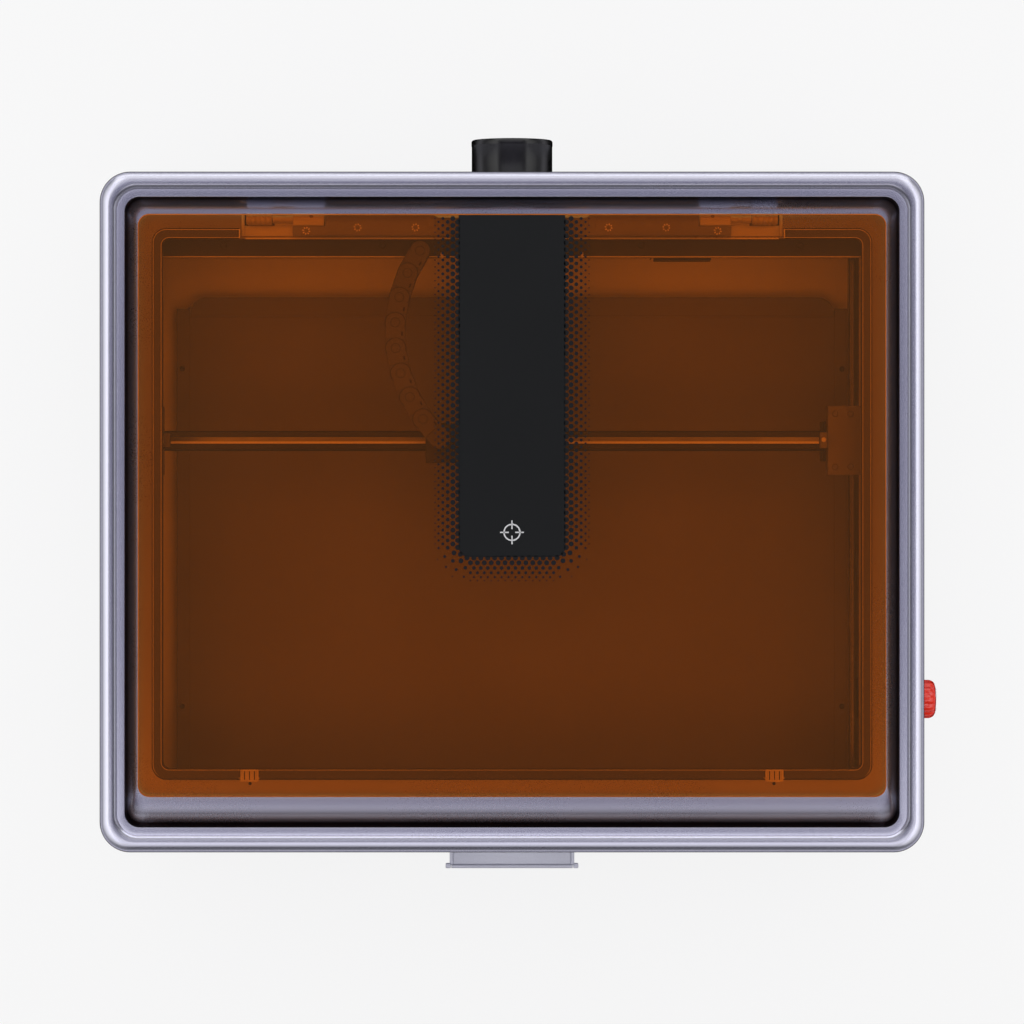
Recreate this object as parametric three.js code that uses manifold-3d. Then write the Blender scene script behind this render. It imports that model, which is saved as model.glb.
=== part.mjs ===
// Desktop diode laser engraver: a sheet-metal case under a rolled-edge bezel, an amber viewing lid on
// friction hinges, a belt-driven gantry with the laser head, a pull-out work bed, an exhaust fan, an
// emergency stop and the electronics below the deck.
// Millimetres. X to the right, Y to the back, Z up from the floor.

import * as THREE from 'three';
import { mergeVertices } from 'three/addons/utils/BufferGeometryUtils.js';
import Module from 'manifold-3d';

const wasm = await Module();
wasm.setup();

// ---------------------------------------------------------------- driving dimensions

const GAP = 0.3; // between pieces that touch

// Bezel: the widest outline of the case, seen from above.
const RIM = { width: 567, depth: 468, top: 268, skirt: 240, corner: 21, wall: 2.6 };
const BEAD = { width: 12.2, height: 5.5 };
const LIP = { end: 17.3, drop: 3, corner: 10.3 };
const RECESS = { side: 25.2, rear: 26.1, front: 37.1, floor: 250.2, corner: 8.8 };
const WINDOW = { x: 240.8, rear: 188.2, front: -176.9, corner: 5 };

// Case walls.
const WALL = { x: 280.5, y: 231, corner: 18, thick: 2, bottom: 24.3, top: 250, wrap: 252 };
const PAN = { x: 275.5, y: 226, corner: 14, bottom: 10, top: 24, thick: 2 };
const FOOT = { x: 235, y: 190, radius: 14 };
const DECK_TOP = 78;
const SHELF = { front: 177, top: 228, thick: 2, x: 262, drop: 22 };

// Lid and its hinges.
const LID = { x: 257.5, rear: 205.1, front: -196.1, bottom: 258, thick: 4, corner: 8 };
const HINGE = { y: 202, z: 253.3, radius: 4.4, pin: 2.6, bore: 2.95, shaft: 3.2 };
const POCKET = { x: 187, front: 189.9, rear: 205.8 };
const MAGNET = { x: 180.7, y: -181.4, width: 12, depth: 8.4 };

// Motion system.
const BEAM = { y: 50, half: 5.8, bottom: 184, top: 204 };
const ROD = { z: 190, radius: 4, bore: 4.3, left: -252, right: 239 };
const BLOCK = { front: 26, rear: 74, bottom: 180, top: 203 };
const BELT = { pitch: 6.366, thick: 1.4, width: 6 };
const PULLEY = { body: 5.4, flange: 8, flangeWidth: 1 };
const Y_BELT = { rear: 191, front: -200, z: 165, left: -269, right: 258 };
const X_BELT = { left: -252, right: 233, z: 174 };

// Pull-out bed.
const BED = { x: 231, top: 95, thick: 3, rear: 154.1, corner: 12, strip: 5.5, stripRear: 140 };
const DRAWER = { x: 237.2, bottom: 42, top: 110.3, play: 0.8 };

// Fan and exhaust.
const FAN = { z: 178, half: 48, bore: 42, front: 196, rear: 228.7 };
const SPIGOT = { radius: 28.5, bore: 26, end: 261 };

// Side emergency stop, front start button, rear mains inlet with rocker.
const ESTOP = { y: -131, z: 190, cap: 13.45, end: 297 };
const START = { x: 205, z: 200 };
const INLET = { x: -191, z: 56 };
const ROCKER = { x: -177, z: 56, y: 230, tilt: 10 };

// ---------------------------------------------------------------- finishes

const finish = (color, roughness, metalness, extra = {}) => () =>
  new THREE.MeshStandardMaterial({ color, roughness, metalness, ...extra });

const silver = finish(0xa3a2ba, 0.42, 0.85);
const steel = finish(0xc9c9cf, 0.25, 1);
const darkMetal = finish(0x24242a, 0.5, 0.6);
const bedMetal = finish(0x3c3a3c, 0.6, 0.5);
const blackPlastic = finish(0x17171a, 0.45, 0);
const rubber = finish(0x1b1a1a, 0.85, 0);
const amber = finish(0xc8641c, 0.08, 0, { transparent: true, opacity: 0.45 });
const red = finish(0xc01616, 0.25, 0);
const yellow = finish(0xe8a818, 0.35, 0);
const board = finish(0x1f5a36, 0.5, 0);

// ---------------------------------------------------------------- geometry helpers

const SIDES = 24;

/** Axis-aligned block from its limits along X, Y and Z. */
function block([x0, x1], [y0, y1], [z0, z1]) {
  const box = new THREE.BoxGeometry(x1 - x0, y1 - y0, z1 - z0);
  return box.translate((x0 + x1) / 2, (y0 + y1) / 2, (z0 + z1) / 2);
}

/** Round bar along an axis from a to b; `at` gives the other two coordinates in X, Y, Z order. */
function bar(axis, radius, [a, b], at, sides = SIDES) {
  return turned(axis, [[0, a], [radius, a], [radius, b], [0, b]], at, sides);
}

/** Turned piece: [radius, distance along the axis] points, revolved about an axis. */
function turned(axis, profile, at, sides = SIDES) {
  const points = profile.map(([r, h]) => new THREE.Vector2(r, h));
  const lathe = new THREE.LatheGeometry(points, sides);
  if (axis === 'x') {
    return lathe.rotateZ(-Math.PI / 2).translate(0, at[0], at[1]);
  }
  if (axis === 'y') {
    return lathe.translate(at[0], 0, at[1]);
  }
  return lathe.rotateX(Math.PI / 2).translate(at[0], at[1], 0);
}

/** Rectangle with rounded corners; `corners` are the radii front-right, rear-right, rear-left, front-left. */
function roundedRect([x0, x1], [y0, y1], corners) {
  const [fr, rr, rl, fl] = Array.isArray(corners) ? corners : [corners, corners, corners, corners];
  const shape = new THREE.Shape();
  shape.moveTo(x0 + fl, y0);
  shape.lineTo(x1 - fr, y0);
  if (fr) shape.absarc(x1 - fr, y0 + fr, fr, -Math.PI / 2, 0);
  shape.lineTo(x1, y1 - rr);
  if (rr) shape.absarc(x1 - rr, y1 - rr, rr, 0, Math.PI / 2);
  shape.lineTo(x0 + rl, y1);
  if (rl) shape.absarc(x0 + rl, y1 - rl, rl, Math.PI / 2, Math.PI);
  shape.lineTo(x0, y0 + fl);
  if (fl) shape.absarc(x0 + fl, y0 + fl, fl, Math.PI, 1.5 * Math.PI);
  return shape;
}

/** Shape in the XY plane, raised from z0 to z1. */
function slab(shape, [z0, z1], curveSegments = 5) {
  const body = new THREE.ExtrudeGeometry(shape, { depth: z1 - z0, bevelEnabled: false, curveSegments });
  return body.translate(0, 0, z0);
}

/** Shape drawn in (Y, Z), swept along X from x0 to x1. */
function sweepX(shape, [x0, x1], curveSegments = 5) {
  const body = new THREE.ExtrudeGeometry(shape, { depth: x1 - x0, bevelEnabled: false, curveSegments });
  const turn = new THREE.Matrix4().set(0, 0, 1, x0, 1, 0, 0, 0, 0, 1, 0, 0, 0, 0, 0, 1);
  return body.applyMatrix4(turn);
}

function polygon(points) {
  return new THREE.Shape(points.map(([u, v]) => new THREE.Vector2(u, v)));
}

function toSolid(geometry) {
  const bare = geometry.clone();
  bare.deleteAttribute('normal');
  bare.deleteAttribute('uv');
  const merged = mergeVertices(bare, 1e-4);
  const vertProperties = Float32Array.from(merged.attributes.position.array);
  const triVerts = Uint32Array.from(merged.index.array);
  return new wasm.Manifold(new wasm.Mesh({ numProp: 3, vertProperties, triVerts }));
}

function toGeometry(solid) {
  const { vertProperties, triVerts } = solid.getMesh();
  const geometry = new THREE.BufferGeometry();
  geometry.setAttribute('position', new THREE.Float32BufferAttribute(vertProperties, 3));
  geometry.setIndex(Array.from(triVerts));
  geometry.computeVertexNormals();
  return geometry;
}

const join = (first, ...rest) => toGeometry(rest.reduce((sum, g) => sum.add(toSolid(g)), toSolid(first)));
const cut = (first, ...rest) => toGeometry(rest.reduce((sum, g) => sum.subtract(toSolid(g)), toSolid(first)));

const model = new THREE.Group();

function piece(name, geometry, material) {
  const mesh = new THREE.Mesh(geometry, material());
  mesh.name = name;
  model.add(mesh);
}

const SIDE_OF = { left: -1, right: 1 };

/** Limits along X mirrored to the given side. */
const mirrored = (sign, [near, far]) => (sign > 0 ? [near, far] : [-far, -near]);

// ---------------------------------------------------------------- bezel

/**
 * Closed ring lofted through rounded rectangles. Each section gives how far it is set in from the rim at
 * the sides, the rear and the front, its height and its corner radius.
 */
function ringLoft(sections) {
  const arcSteps = 5;
  const contours = sections.map(({ side, rear, front, z, corner }) => {
    const x = RIM.width / 2 - side;
    const y1 = RIM.depth / 2 - rear;
    const y0 = front - RIM.depth / 2;
    const centres = [[x - corner, y0 + corner], [x - corner, y1 - corner]];
    centres.push([corner - x, y1 - corner], [corner - x, y0 + corner]);
    return centres.flatMap(([cx, cy], quarter) =>
      Array.from({ length: arcSteps + 1 }, (_, i) => {
        const angle = (quarter - 1 + i / arcSteps) * (Math.PI / 2);
        return [cx + corner * Math.cos(angle), cy + corner * Math.sin(angle), z];
      }));
  });
  const around = contours[0].length;
  const index = [];
  contours.forEach((_, s) => {
    const next = (s + 1) % contours.length;
    for (let i = 0; i < around; i += 1) {
      const j = (i + 1) % around;
      const [a, b, c, d] = [s * around + i, s * around + j, next * around + j, next * around + i];
      index.push(a, b, c, a, c, d);
    }
  });
  const geometry = new THREE.BufferGeometry();
  geometry.setAttribute('position', new THREE.Float32BufferAttribute(contours.flat(2), 3));
  geometry.setIndex(index);
  return geometry;
}

/** Steps of an angle in degrees, both ends included, in radians. */
const arc = (from, to, steps) =>
  Array.from({ length: steps + 1 }, (_, i) => THREE.MathUtils.degToRad(from + ((to - from) * i) / steps));

const even = (inset, z, corner) => ({ side: inset, rear: inset, front: inset, z, corner });

function topBezel() {
  const beadBase = RIM.top - BEAD.height;
  const bead = arc(0, 150, 5).map((t) =>
    even((BEAD.width / 2) * (1 - Math.cos(t)), beadBase + BEAD.height * Math.sin(t),
      THREE.MathUtils.lerp(RIM.corner, 14.3, t / Math.PI)));
  const lipTop = RIM.top - LIP.drop;
  const lip = [even(BEAD.width, lipTop, 14.3), even(LIP.end, lipTop, LIP.corner)];

  // The recess falls steeply from the lip and levels out at the lid: a quarter of an ellipse.
  const fall = (t, outward, down) => {
    const reach = (end) => LIP.end - outward + (end - LIP.end) * (1 - Math.cos(t));
    return {
      side: reach(RECESS.side),
      rear: reach(RECESS.rear),
      front: reach(RECESS.front),
      z: lipTop - down - (lipTop - RECESS.floor) * Math.sin(t),
      corner: THREE.MathUtils.lerp(LIP.corner, RECESS.corner, 1 - Math.cos(t)),
    };
  };
  const recess = arc(18, 90, 4).map((t) => fall(t, 0, 0));
  const underside = arc(90, 0, 4).map((t) => fall(t, 2.7, 3));

  const sheet = 3;
  const hem = 1.5;
  const window = (z, outward) => ({
    side: RIM.width / 2 - WINDOW.x - outward,
    rear: RIM.depth / 2 - WINDOW.rear - outward,
    front: RIM.depth / 2 + WINDOW.front - outward,
    z,
    corner: WINDOW.corner + outward,
  });
  const hemBottom = RECESS.floor - 6.2;
  const ledge = [window(RECESS.floor, 0), window(hemBottom, 0), window(hemBottom, hem)];
  ledge.push(window(RECESS.floor - sheet, hem));

  const skirt = [even(RIM.wall, lipTop - sheet, 18.4), even(RIM.wall, RIM.skirt, 18.4)];
  skirt.push(even(0, RIM.skirt, RIM.corner));
  const ring = ringLoft([...bead, ...lip, ...recess, ...ledge, ...underside, ...skirt]);
  const pocket = block([-POCKET.x, POCKET.x], [POCKET.front, POCKET.rear], [hemBottom - 1, RECESS.floor + 1]);
  return cut(ring, pocket);
}

// ---------------------------------------------------------------- case

function sideShell(sign) {
  const { x, y, corner, thick, wrap, bottom, top } = WALL;
  const inner = corner - thick;
  const shape = new THREE.Shape();
  shape.moveTo(wrap, -y);
  shape.lineTo(x - corner, -y);
  shape.absarc(x - corner, corner - y, corner, -Math.PI / 2, 0);
  shape.lineTo(x, y - corner);
  shape.absarc(x - corner, y - corner, corner, 0, Math.PI / 2);
  shape.lineTo(wrap, y);
  shape.lineTo(wrap, y - thick);
  shape.lineTo(x - corner, y - thick);
  shape.absarc(x - corner, y - corner, inner, Math.PI / 2, 0, true);
  shape.lineTo(x - thick, corner - y);
  shape.absarc(x - corner, corner - y, inner, 0, -Math.PI / 2, true);
  shape.lineTo(wrap, thick - y);
  const shell = slab(shape, [bottom, top]);
  return sign > 0 ? shell : shell.rotateZ(Math.PI);
}

const panelX = [GAP - WALL.wrap, WALL.wrap - GAP];
const panelZ = [WALL.bottom, WALL.top];

function frontPanel() {
  const { x, bottom, top, play } = DRAWER;
  const face = block(panelX, [-WALL.y, WALL.thick - WALL.y], panelZ);
  const drawerHole = block([-x - play, x + play], [-WALL.y - 1, 5 - WALL.y], [bottom - play, top + play]);
  const buttonHole = bar('y', 9, [-WALL.y - 1, 5 - WALL.y], [START.x, START.z]);
  return cut(face, drawerHole, buttonHole);
}

function rearPanel() {
  const face = block(panelX, [WALL.y - WALL.thick, WALL.y], panelZ);
  const fanHole = bar('y', SPIGOT.bore + 1, [WALL.y - 5, WALL.y + 1], [0, FAN.z]);
  const inletHole = block([-213.4, -168.6], [WALL.y - 5, WALL.y + 1], [44.6, 67.4]);
  return cut(face, fanHole, inletHole);
}

function basePan() {
  const { x, y, corner, bottom, top, thick } = PAN;
  const outer = slab(roundedRect([-x, x], [-y, y], corner), [bottom, top]);
  const inside = roundedRect([thick - x, x - thick], [thick - y, y - thick], corner - thick);
  return cut(outer, slab(inside, [bottom + thick, top + 1]));
}

function deckPlate() {
  const x = WALL.x - WALL.thick - GAP;
  const y = WALL.y - WALL.thick - GAP;
  return slab(roundedRect([-x, x], [-y, y], WALL.corner - WALL.thick), [DECK_TOP - 2, DECK_TOP]);
}

function rearShelf() {
  const { front, top, thick, x, drop } = SHELF;
  const rear = WALL.y - WALL.thick - GAP;
  const outline = [[front, top - drop], [front + thick, top - drop], [front + thick, top - thick]];
  outline.push([rear, top - thick], [rear, top], [front, top]);
  return sweepX(polygon(outline), [-x, x]);
}

piece('base_pan', basePan(), darkMetal);
for (const [endName, ySign] of [['front', -1], ['rear', 1]]) {
  for (const [sideName, xSign] of Object.entries(SIDE_OF)) {
    const outline = [[0, 0], [12, 0], [FOOT.radius, 2.5], [FOOT.radius, 7], [11, PAN.bottom - GAP]];
    outline.push([0, PAN.bottom - GAP]);
    piece(`foot_${endName}_${sideName}`, turned('z', outline, [xSign * FOOT.x, ySign * FOOT.y]), rubber);
  }
}
const estopHole = bar('x', 8.3, [WALL.x - 8, WALL.x + 2], [ESTOP.y, ESTOP.z]);
piece('left_shell', sideShell(-1), silver);
piece('right_shell', cut(sideShell(1), estopHole), silver);
piece('front_panel', frontPanel(), silver);
piece('rear_panel', rearPanel(), silver);
piece('deck_plate', deckPlate(), silver);
piece('rear_shelf', rearShelf(), darkMetal);
piece('top_bezel', topBezel(), silver);

// ---------------------------------------------------------------- lid

function lidGasket() {
  const width = 7;
  const { x, rear, front, corner } = WINDOW;
  const shape = roundedRect([-x - width, x + width], [front - width - 0.6, rear + width - 0.4], corner + 5);
  shape.holes.push(roundedRect([-x, x], [front, rear], corner));
  const strip = slab(shape, [RECESS.floor + GAP, LID.bottom - GAP], 4);
  const hingeRun = block([-POCKET.x - 1, POCKET.x + 1], [rear - 5, rear + 20], [240, 270]);
  const notches = Object.values(SIDE_OF).map((sign) => {
    const half = MAGNET.width / 2 + GAP;
    return block([sign * MAGNET.x - half, sign * MAGNET.x + half], [-195, -170], [RECESS.floor + 2.3, 270]);
  });
  return cut(strip, hingeRun, ...notches);
}

/** Fixed knuckle: a tube on a foot that stands on the rear shelf. */
function hingeBarrel(sign) {
  const reach = mirrored(sign, [165.3, 183]);
  const { y, z, radius, bore } = HINGE;
  const foot = block(reach, [y - 3.4, y + 3.4], [SHELF.top + GAP, z - 2]);
  const tube = join(foot, bar('x', radius, reach, [y, z]));
  return cut(tube, bar('x', bore, mirrored(sign, [160, 190]), [y, z]));
}

/** Moving knuckle: leaf under the hinge bar, knuckle, friction shaft and the pin in the barrel. */
function lidHinge(sign) {
  const { y, z, radius, shaft, pin } = HINGE;
  const leaf = block(mirrored(sign, [130, 150]), [190.5, y], [z - 0.7, z + 1.7]);
  const knuckle = bar('x', radius, mirrored(sign, [129, 151]), [y, z]);
  const frictionShaft = bar('x', shaft, mirrored(sign, [150, 164.8]), [y, z]);
  return join(leaf, knuckle, frictionShaft, bar('x', pin, mirrored(sign, [164, 182.7]), [y, z]));
}

function hingeBar() {
  const notch = 128.5;
  const outline = [[-151, 190.2], [151, 190.2], [151, 196.8], [notch, 196.8], [notch, 204.6]];
  outline.push([-notch, 204.6], [-notch, 196.8], [-151, 196.8]);
  return slab(polygon(outline), [HINGE.z + 2, LID.bottom - GAP]);
}

const lidOutline = roundedRect([-LID.x, LID.x], [LID.front, LID.rear], LID.corner);
piece('lid_gasket', lidGasket(), rubber);
piece('lid_panel', slab(lidOutline, [LID.bottom, LID.bottom + LID.thick]), amber);
piece('lid_hinge_bar', hingeBar(), darkMetal);
for (const [name, sign] of Object.entries(SIDE_OF)) {
  piece(`hinge_barrel_${name}`, hingeBarrel(sign), darkMetal);
  piece(`lid_hinge_${name}`, lidHinge(sign), steel);
}

// ---------------------------------------------------------------- exhaust

function fanHousing() {
  const { z, half, bore, front, rear } = FAN;
  const spokes = rear - 10;
  const shell = cut(block([-half, half], [front, rear], [z - half, z + half - 0.5]),
    bar('y', bore, [front - 1, rear + 1], [0, z], 32));
  const across = block([-bore - 1, bore + 1], [spokes, spokes + 4], [z - 2, z + 2]);
  const upright = block([-2, 2], [spokes, spokes + 4], [z - bore - 1, z + bore + 1]);
  return join(shell, across, upright, bar('y', 15, [spokes, spokes + 8], [0, z]));
}

function fanRotor() {
  const front = FAN.front + 3;
  const hub = bar('y', 16, [front, front + 17], [0, 0]);
  const blades = Array.from({ length: 7 }, (_, i) => {
    const blade = new THREE.BoxGeometry(1.6, 15, 26);
    blade.rotateZ(-0.7).translate(0, front + 8.5, 26.5);
    return blade.rotateY((i * 2 * Math.PI) / 7);
  });
  return join(hub, ...blades).translate(0, 0, FAN.z);
}

const spigotFlange = [WALL.y + GAP, WALL.y + 2.3];
const spigotProfile = [[SPIGOT.bore, spigotFlange[0]], [34, spigotFlange[0]], [34, spigotFlange[1]]];
spigotProfile.push([SPIGOT.radius, spigotFlange[1]], [SPIGOT.radius, SPIGOT.end]);
spigotProfile.push([SPIGOT.bore, SPIGOT.end], [SPIGOT.bore, spigotFlange[0]]);
piece('exhaust_spigot', turned('y', spigotProfile, [0, FAN.z], 36), blackPlastic);
piece('fan_housing', fanHousing(), blackPlastic);
piece('fan_rotor', fanRotor(), blackPlastic);

// ---------------------------------------------------------------- controls and electronics

function powerInlet() {
  const flange = block([INLET.x - 25, INLET.x + 25], [WALL.y + GAP, WALL.y + 2.3], [42, 70]);
  const body = block([INLET.x - 22, INLET.x + 22], [205, WALL.y + 1], [45, 67]);
  const socket = block([INLET.x - 20, INLET.x + 4], [217, WALL.y + 3], [48, 64.5]);
  const rockerHole = block([ROCKER.x - 5.5, ROCKER.x + 5.5], [222, WALL.y + 3], [47, 65]);
  return cut(join(flange, body), socket, rockerHole);
}

function powerRocker() {
  const outline = polygon([[-4, -8], [2.2, -8], [1.2, 0], [2.2, 8], [-4, 8]]);
  const key = sweepX(outline, [-5, 5]);
  return key.rotateX(THREE.MathUtils.degToRad(-ROCKER.tilt)).translate(ROCKER.x, ROCKER.y, ROCKER.z);
}

function controlBoard() {
  const top = 21.6;
  const heatSink = block([90, 130], [110, 150], [top - 0.5, 34]);
  const sockets = block([66, 74], [90, 170], [top - 0.5, 31]);
  const terminals = block([150, 172], [88, 98], [top - 0.5, 32]);
  const legs = [[66, 86], [174, 86], [66, 174], [174, 174]].map((at) =>
    bar('z', 3, [PAN.bottom + PAN.thick + GAP, 20.5], at, 8));
  return join(block([60, 180], [80, 180], [20, top]), heatSink, sockets, terminals, ...legs);
}

const inEstop = [ESTOP.y, ESTOP.z];

/** Switch block behind the wall, threaded neck through it and the collar outside, bored for the plunger. */
function estopBody() {
  const inner = WALL.x - WALL.thick - GAP;
  const switchBlock = block([263.5, inner], [ESTOP.y - 14, ESTOP.y + 14], [ESTOP.z - 14, ESTOP.z + 14]);
  const neck = bar('x', 7.6, [inner - 1, WALL.x + 1], inEstop);
  const collar = bar('x', 11, [WALL.x + GAP, WALL.x + 5], inEstop);
  return cut(join(switchBlock, neck, collar), bar('x', 5.4, [264.6, WALL.x + 6], inEstop));
}

const capBack = ESTOP.end - 11;
const capProfile = [[0, capBack + 4.5], [11.6, capBack + 4.5], [11.6, capBack], [ESTOP.cap, capBack]];
capProfile.push([ESTOP.cap, ESTOP.end - 5], [12.2, ESTOP.end - 1.8], [9, ESTOP.end - 0.4], [0, ESTOP.end]);

piece('estop_body', estopBody(), yellow);
piece('estop_plunger', bar('x', 4.9, [269, capBack + 4.2], inEstop), red);
piece('estop_cap', turned('x', capProfile, inEstop, 32), red);

const startFace = -WALL.y - 2.4;
const ringProfile = [[7.2, startFace], [11, startFace], [11, -WALL.y - GAP], [8.6, -WALL.y - GAP]];
ringProfile.push([8.6, 9 - WALL.y], [7.2, 9 - WALL.y], [7.2, startFace]);
piece('start_ring', turned('y', ringProfile, [START.x, START.z]), steel);
piece('start_button', bar('y', 6.9, [startFace - 0.5, 7 - WALL.y], [START.x, START.z]), blackPlastic);

piece('power_inlet', powerInlet(), blackPlastic);
piece('power_rocker', powerRocker(), blackPlastic);
piece('power_supply', block([-250, -150], [60, 195], [PAN.bottom + PAN.thick + GAP, 55]), steel);
piece('control_board', controlBoard(), board);

// ---------------------------------------------------------------- pull-out bed

/** Plate with a strip along each edge that runs in the rails, and a stiffening web under each side. */
function workBed() {
  const { x, top, thick, rear, strip, stripRear, corner } = BED;
  const front = GAP - WALL.y + WALL.thick;
  const outline = new THREE.Shape();
  outline.moveTo(-x - strip, front);
  outline.lineTo(x + strip, front);
  outline.lineTo(x + strip, stripRear);
  outline.lineTo(x, stripRear);
  outline.lineTo(x, rear - corner);
  outline.absarc(x - corner, rear - corner, corner, 0, Math.PI / 2);
  outline.lineTo(corner - x, rear);
  outline.absarc(corner - x, rear - corner, corner, Math.PI / 2, Math.PI);
  outline.lineTo(-x, stripRear);
  outline.lineTo(-x - strip, stripRear);
  const webs = [-1, 1].map((sign) =>
    block(mirrored(sign, [x - 5, x - 3]), [front + 2, rear - 14], [top - 15, top - thick + 0.5]));
  return join(slab(outline, [top - thick, top]), ...webs);
}

/** C-section runner that holds the edge strip of the bed. */
function bedRail(sign) {
  const bottom = DECK_TOP + GAP;
  const outline = [[232, bottom], [240.5, bottom], [240.5, 97.5], [231.3, 97.5], [231.3, 95.9]];
  outline.push([238.3, 95.9], [238.3, bottom + 1.7], [232, bottom + 1.7]);
  const section = polygon(sign > 0 ? outline : outline.map(([u, v]) => [-u, v]).reverse());
  const length = 145.8 + WALL.y - WALL.thick - GAP;
  const rail = new THREE.ExtrudeGeometry(section, { depth: length, bevelEnabled: false });
  return rail.rotateX(Math.PI / 2).translate(0, 145.8, 0);
}

/** Pull tab: a shelf with folded cheeks and an upstanding lip along its front. */
function drawerPull() {
  const back = -WALL.y - GAP;
  const shelf = block([-43.1, 43.1], [-253.5, back], [103, 105.5]);
  const cheeks = [-1, 1].map((sign) => block(mirrored(sign, [41.6, 43.1]), [-253.5, back], [92, 104]));
  const lip = block([-47.6, 47.6], [-255, -252.2], [98, 107.5]);
  return join(shelf, ...cheeks, lip);
}

const { x: drawerX, bottom: drawerBottom, top: drawerTop } = DRAWER;
const drawerFace = block([-drawerX, drawerX], [-WALL.y, WALL.thick - WALL.y], [drawerBottom, drawerTop]);
piece('work_bed', workBed(), bedMetal);
piece('drawer_front', drawerFace, silver);
piece('drawer_pull', drawerPull(), silver);
for (const [name, sign] of Object.entries(SIDE_OF)) {
  piece(`bed_rail_${name}`, bedRail(sign), bedMetal);
}

// ---------------------------------------------------------------- belts and pulleys

/** Loop around two pulleys, drawn in the plane (u, v): centres at (u0, v) and (u1, v). */
function beltShape(u0, u1, v) {
  const stadium = (Path, radius) => {
    const path = new Path();
    path.moveTo(u0, v - radius);
    path.lineTo(u1, v - radius);
    path.absarc(u1, v, radius, -Math.PI / 2, Math.PI / 2);
    path.lineTo(u0, v + radius);
    path.absarc(u0, v, radius, Math.PI / 2, 1.5 * Math.PI);
    return path;
  };
  const shape = stadium(THREE.Shape, BELT.pitch + BELT.thick / 2);
  shape.holes.push(stadium(THREE.Path, BELT.pitch - BELT.thick / 2));
  return shape;
}

/** Flanged pulley profile centred at `middle`; bore 0 gives a solid one. */
function pulleyProfile(middle, bore) {
  const { body, flange, flangeWidth } = PULLEY;
  const inner = BELT.width / 2 + GAP;
  const outer = inner + flangeWidth;
  const profile = [[bore, middle - outer], [flange, middle - outer], [flange, middle - inner]];
  profile.push([body, middle - inner], [body, middle + inner], [flange, middle + inner]);
  profile.push([flange, middle + outer], [bore, middle + outer]);
  if (bore > 0) profile.push([bore, middle - outer]);
  return profile;
}

const { rear: yBeltRear, front: yBeltFront, z: yBeltZ } = Y_BELT;
const half = BELT.width / 2;

function yDriveShaft() {
  const at = [yBeltRear, yBeltZ];
  const shaft = bar('x', 3, [Y_BELT.left - 5, Y_BELT.right + 5], at, 16);
  const pulleys = [Y_BELT.left, Y_BELT.right].map((x) => turned('x', pulleyProfile(x, 0), at));
  return join(shaft, ...pulleys);
}

function yMotor() {
  const body = block([100, 140], [yBeltRear - 14, yBeltRear + 14], [yBeltZ - 14, yBeltZ + 14]);
  const mount = block([97, 100.5], [yBeltRear - 11, yBeltRear + 13], [yBeltZ - 15, SHELF.top - 2.3]);
  return cut(join(body, mount), bar('x', 3.5, [90, 150], [yBeltRear, yBeltZ]));
}

/** Pin for the front idler on a block against the side wall. */
function yIdlerBracket(sign, beltX) {
  const wall = WALL.x - WALL.thick - GAP;
  const inner = Math.abs(beltX) + half + GAP + PULLEY.flangeWidth + 0.6;
  const foot = block(mirrored(sign, [inner, wall]), [yBeltFront - 12, yBeltFront + 12], [yBeltZ - 10, yBeltZ + 10]);
  const pinEnd = Math.abs(beltX) - half - 1.5;
  return join(foot, bar('x', 2.6, mirrored(sign, [pinEnd, inner + 1]), [yBeltFront, yBeltZ], 16));
}

piece('y_motor', yMotor(), darkMetal);
piece('y_drive_shaft', yDriveShaft(), steel);
for (const [name, sign] of Object.entries(SIDE_OF)) {
  const beltX = Y_BELT[name];
  const rodY = WALL.y - WALL.thick - GAP;
  const loop = beltShape(yBeltFront, yBeltRear, yBeltZ);
  piece(`y_rod_${name}`, bar('y', ROD.radius, [-rodY, rodY], [ROD[name], ROD.z], 20), steel);
  piece(`y_belt_${name}`, sweepX(loop, [beltX - half, beltX + half], 8), rubber);
  piece(`y_idler_${name}`, turned('x', pulleyProfile(beltX, 2.95), [yBeltFront, yBeltZ]), steel);
  piece(`y_idler_bracket_${name}`, yIdlerBracket(sign, beltX), darkMetal);
}

// ---------------------------------------------------------------- gantry

const blockY = [BLOCK.front, BLOCK.rear];
const blockZ = [BLOCK.bottom, BLOCK.top];

/** Bearing block on its rod, with the arm that is clipped to the upper run of the belt. */
function yCarriage(sign, [near, far], beltX, rodX) {
  const body = block(mirrored(sign, [near, far]), blockY, blockZ);
  const arm = block(mirrored(sign, [far - 1, Math.abs(beltX) + 3]), [38, 62], [BLOCK.bottom, BLOCK.bottom + 4]);
  const clipBottom = yBeltZ + BELT.pitch + BELT.thick / 2 + GAP;
  const clip = block([beltX - 2.5, beltX + 2.5], [40, 60], [clipBottom, BLOCK.bottom + 1]);
  const parts = [body, arm, clip];
  if (sign < 0) parts.push(bar('z', 2.6, [X_BELT.z - 5, BLOCK.bottom + 1], [X_BELT.left, BEAM.y], 16));
  return cut(join(...parts), bar('y', ROD.bore, [BLOCK.front - 1, BLOCK.rear + 1], [rodX, ROD.z]));
}

/** Beam with the bracket behind it that carries the end of the cable chain over the head. */
function gantryBeam() {
  const behind = BEAM.y + BEAM.half;
  const beam = block([-243.7, 220.2], [BEAM.y - BEAM.half, behind], [BEAM.bottom, BEAM.top]);
  const standoff = block([-60, -36], [behind - 1, 61.5], [BEAM.bottom + 2, BEAM.top - 4]);
  const leg = block([-60, -36], [58.5, 61.5], [BEAM.bottom + 2, 229.7]);
  const tray = block([-60, -36], [34, 60], [227.2, 229.7]);
  return join(beam, standoff, leg, tray);
}

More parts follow.
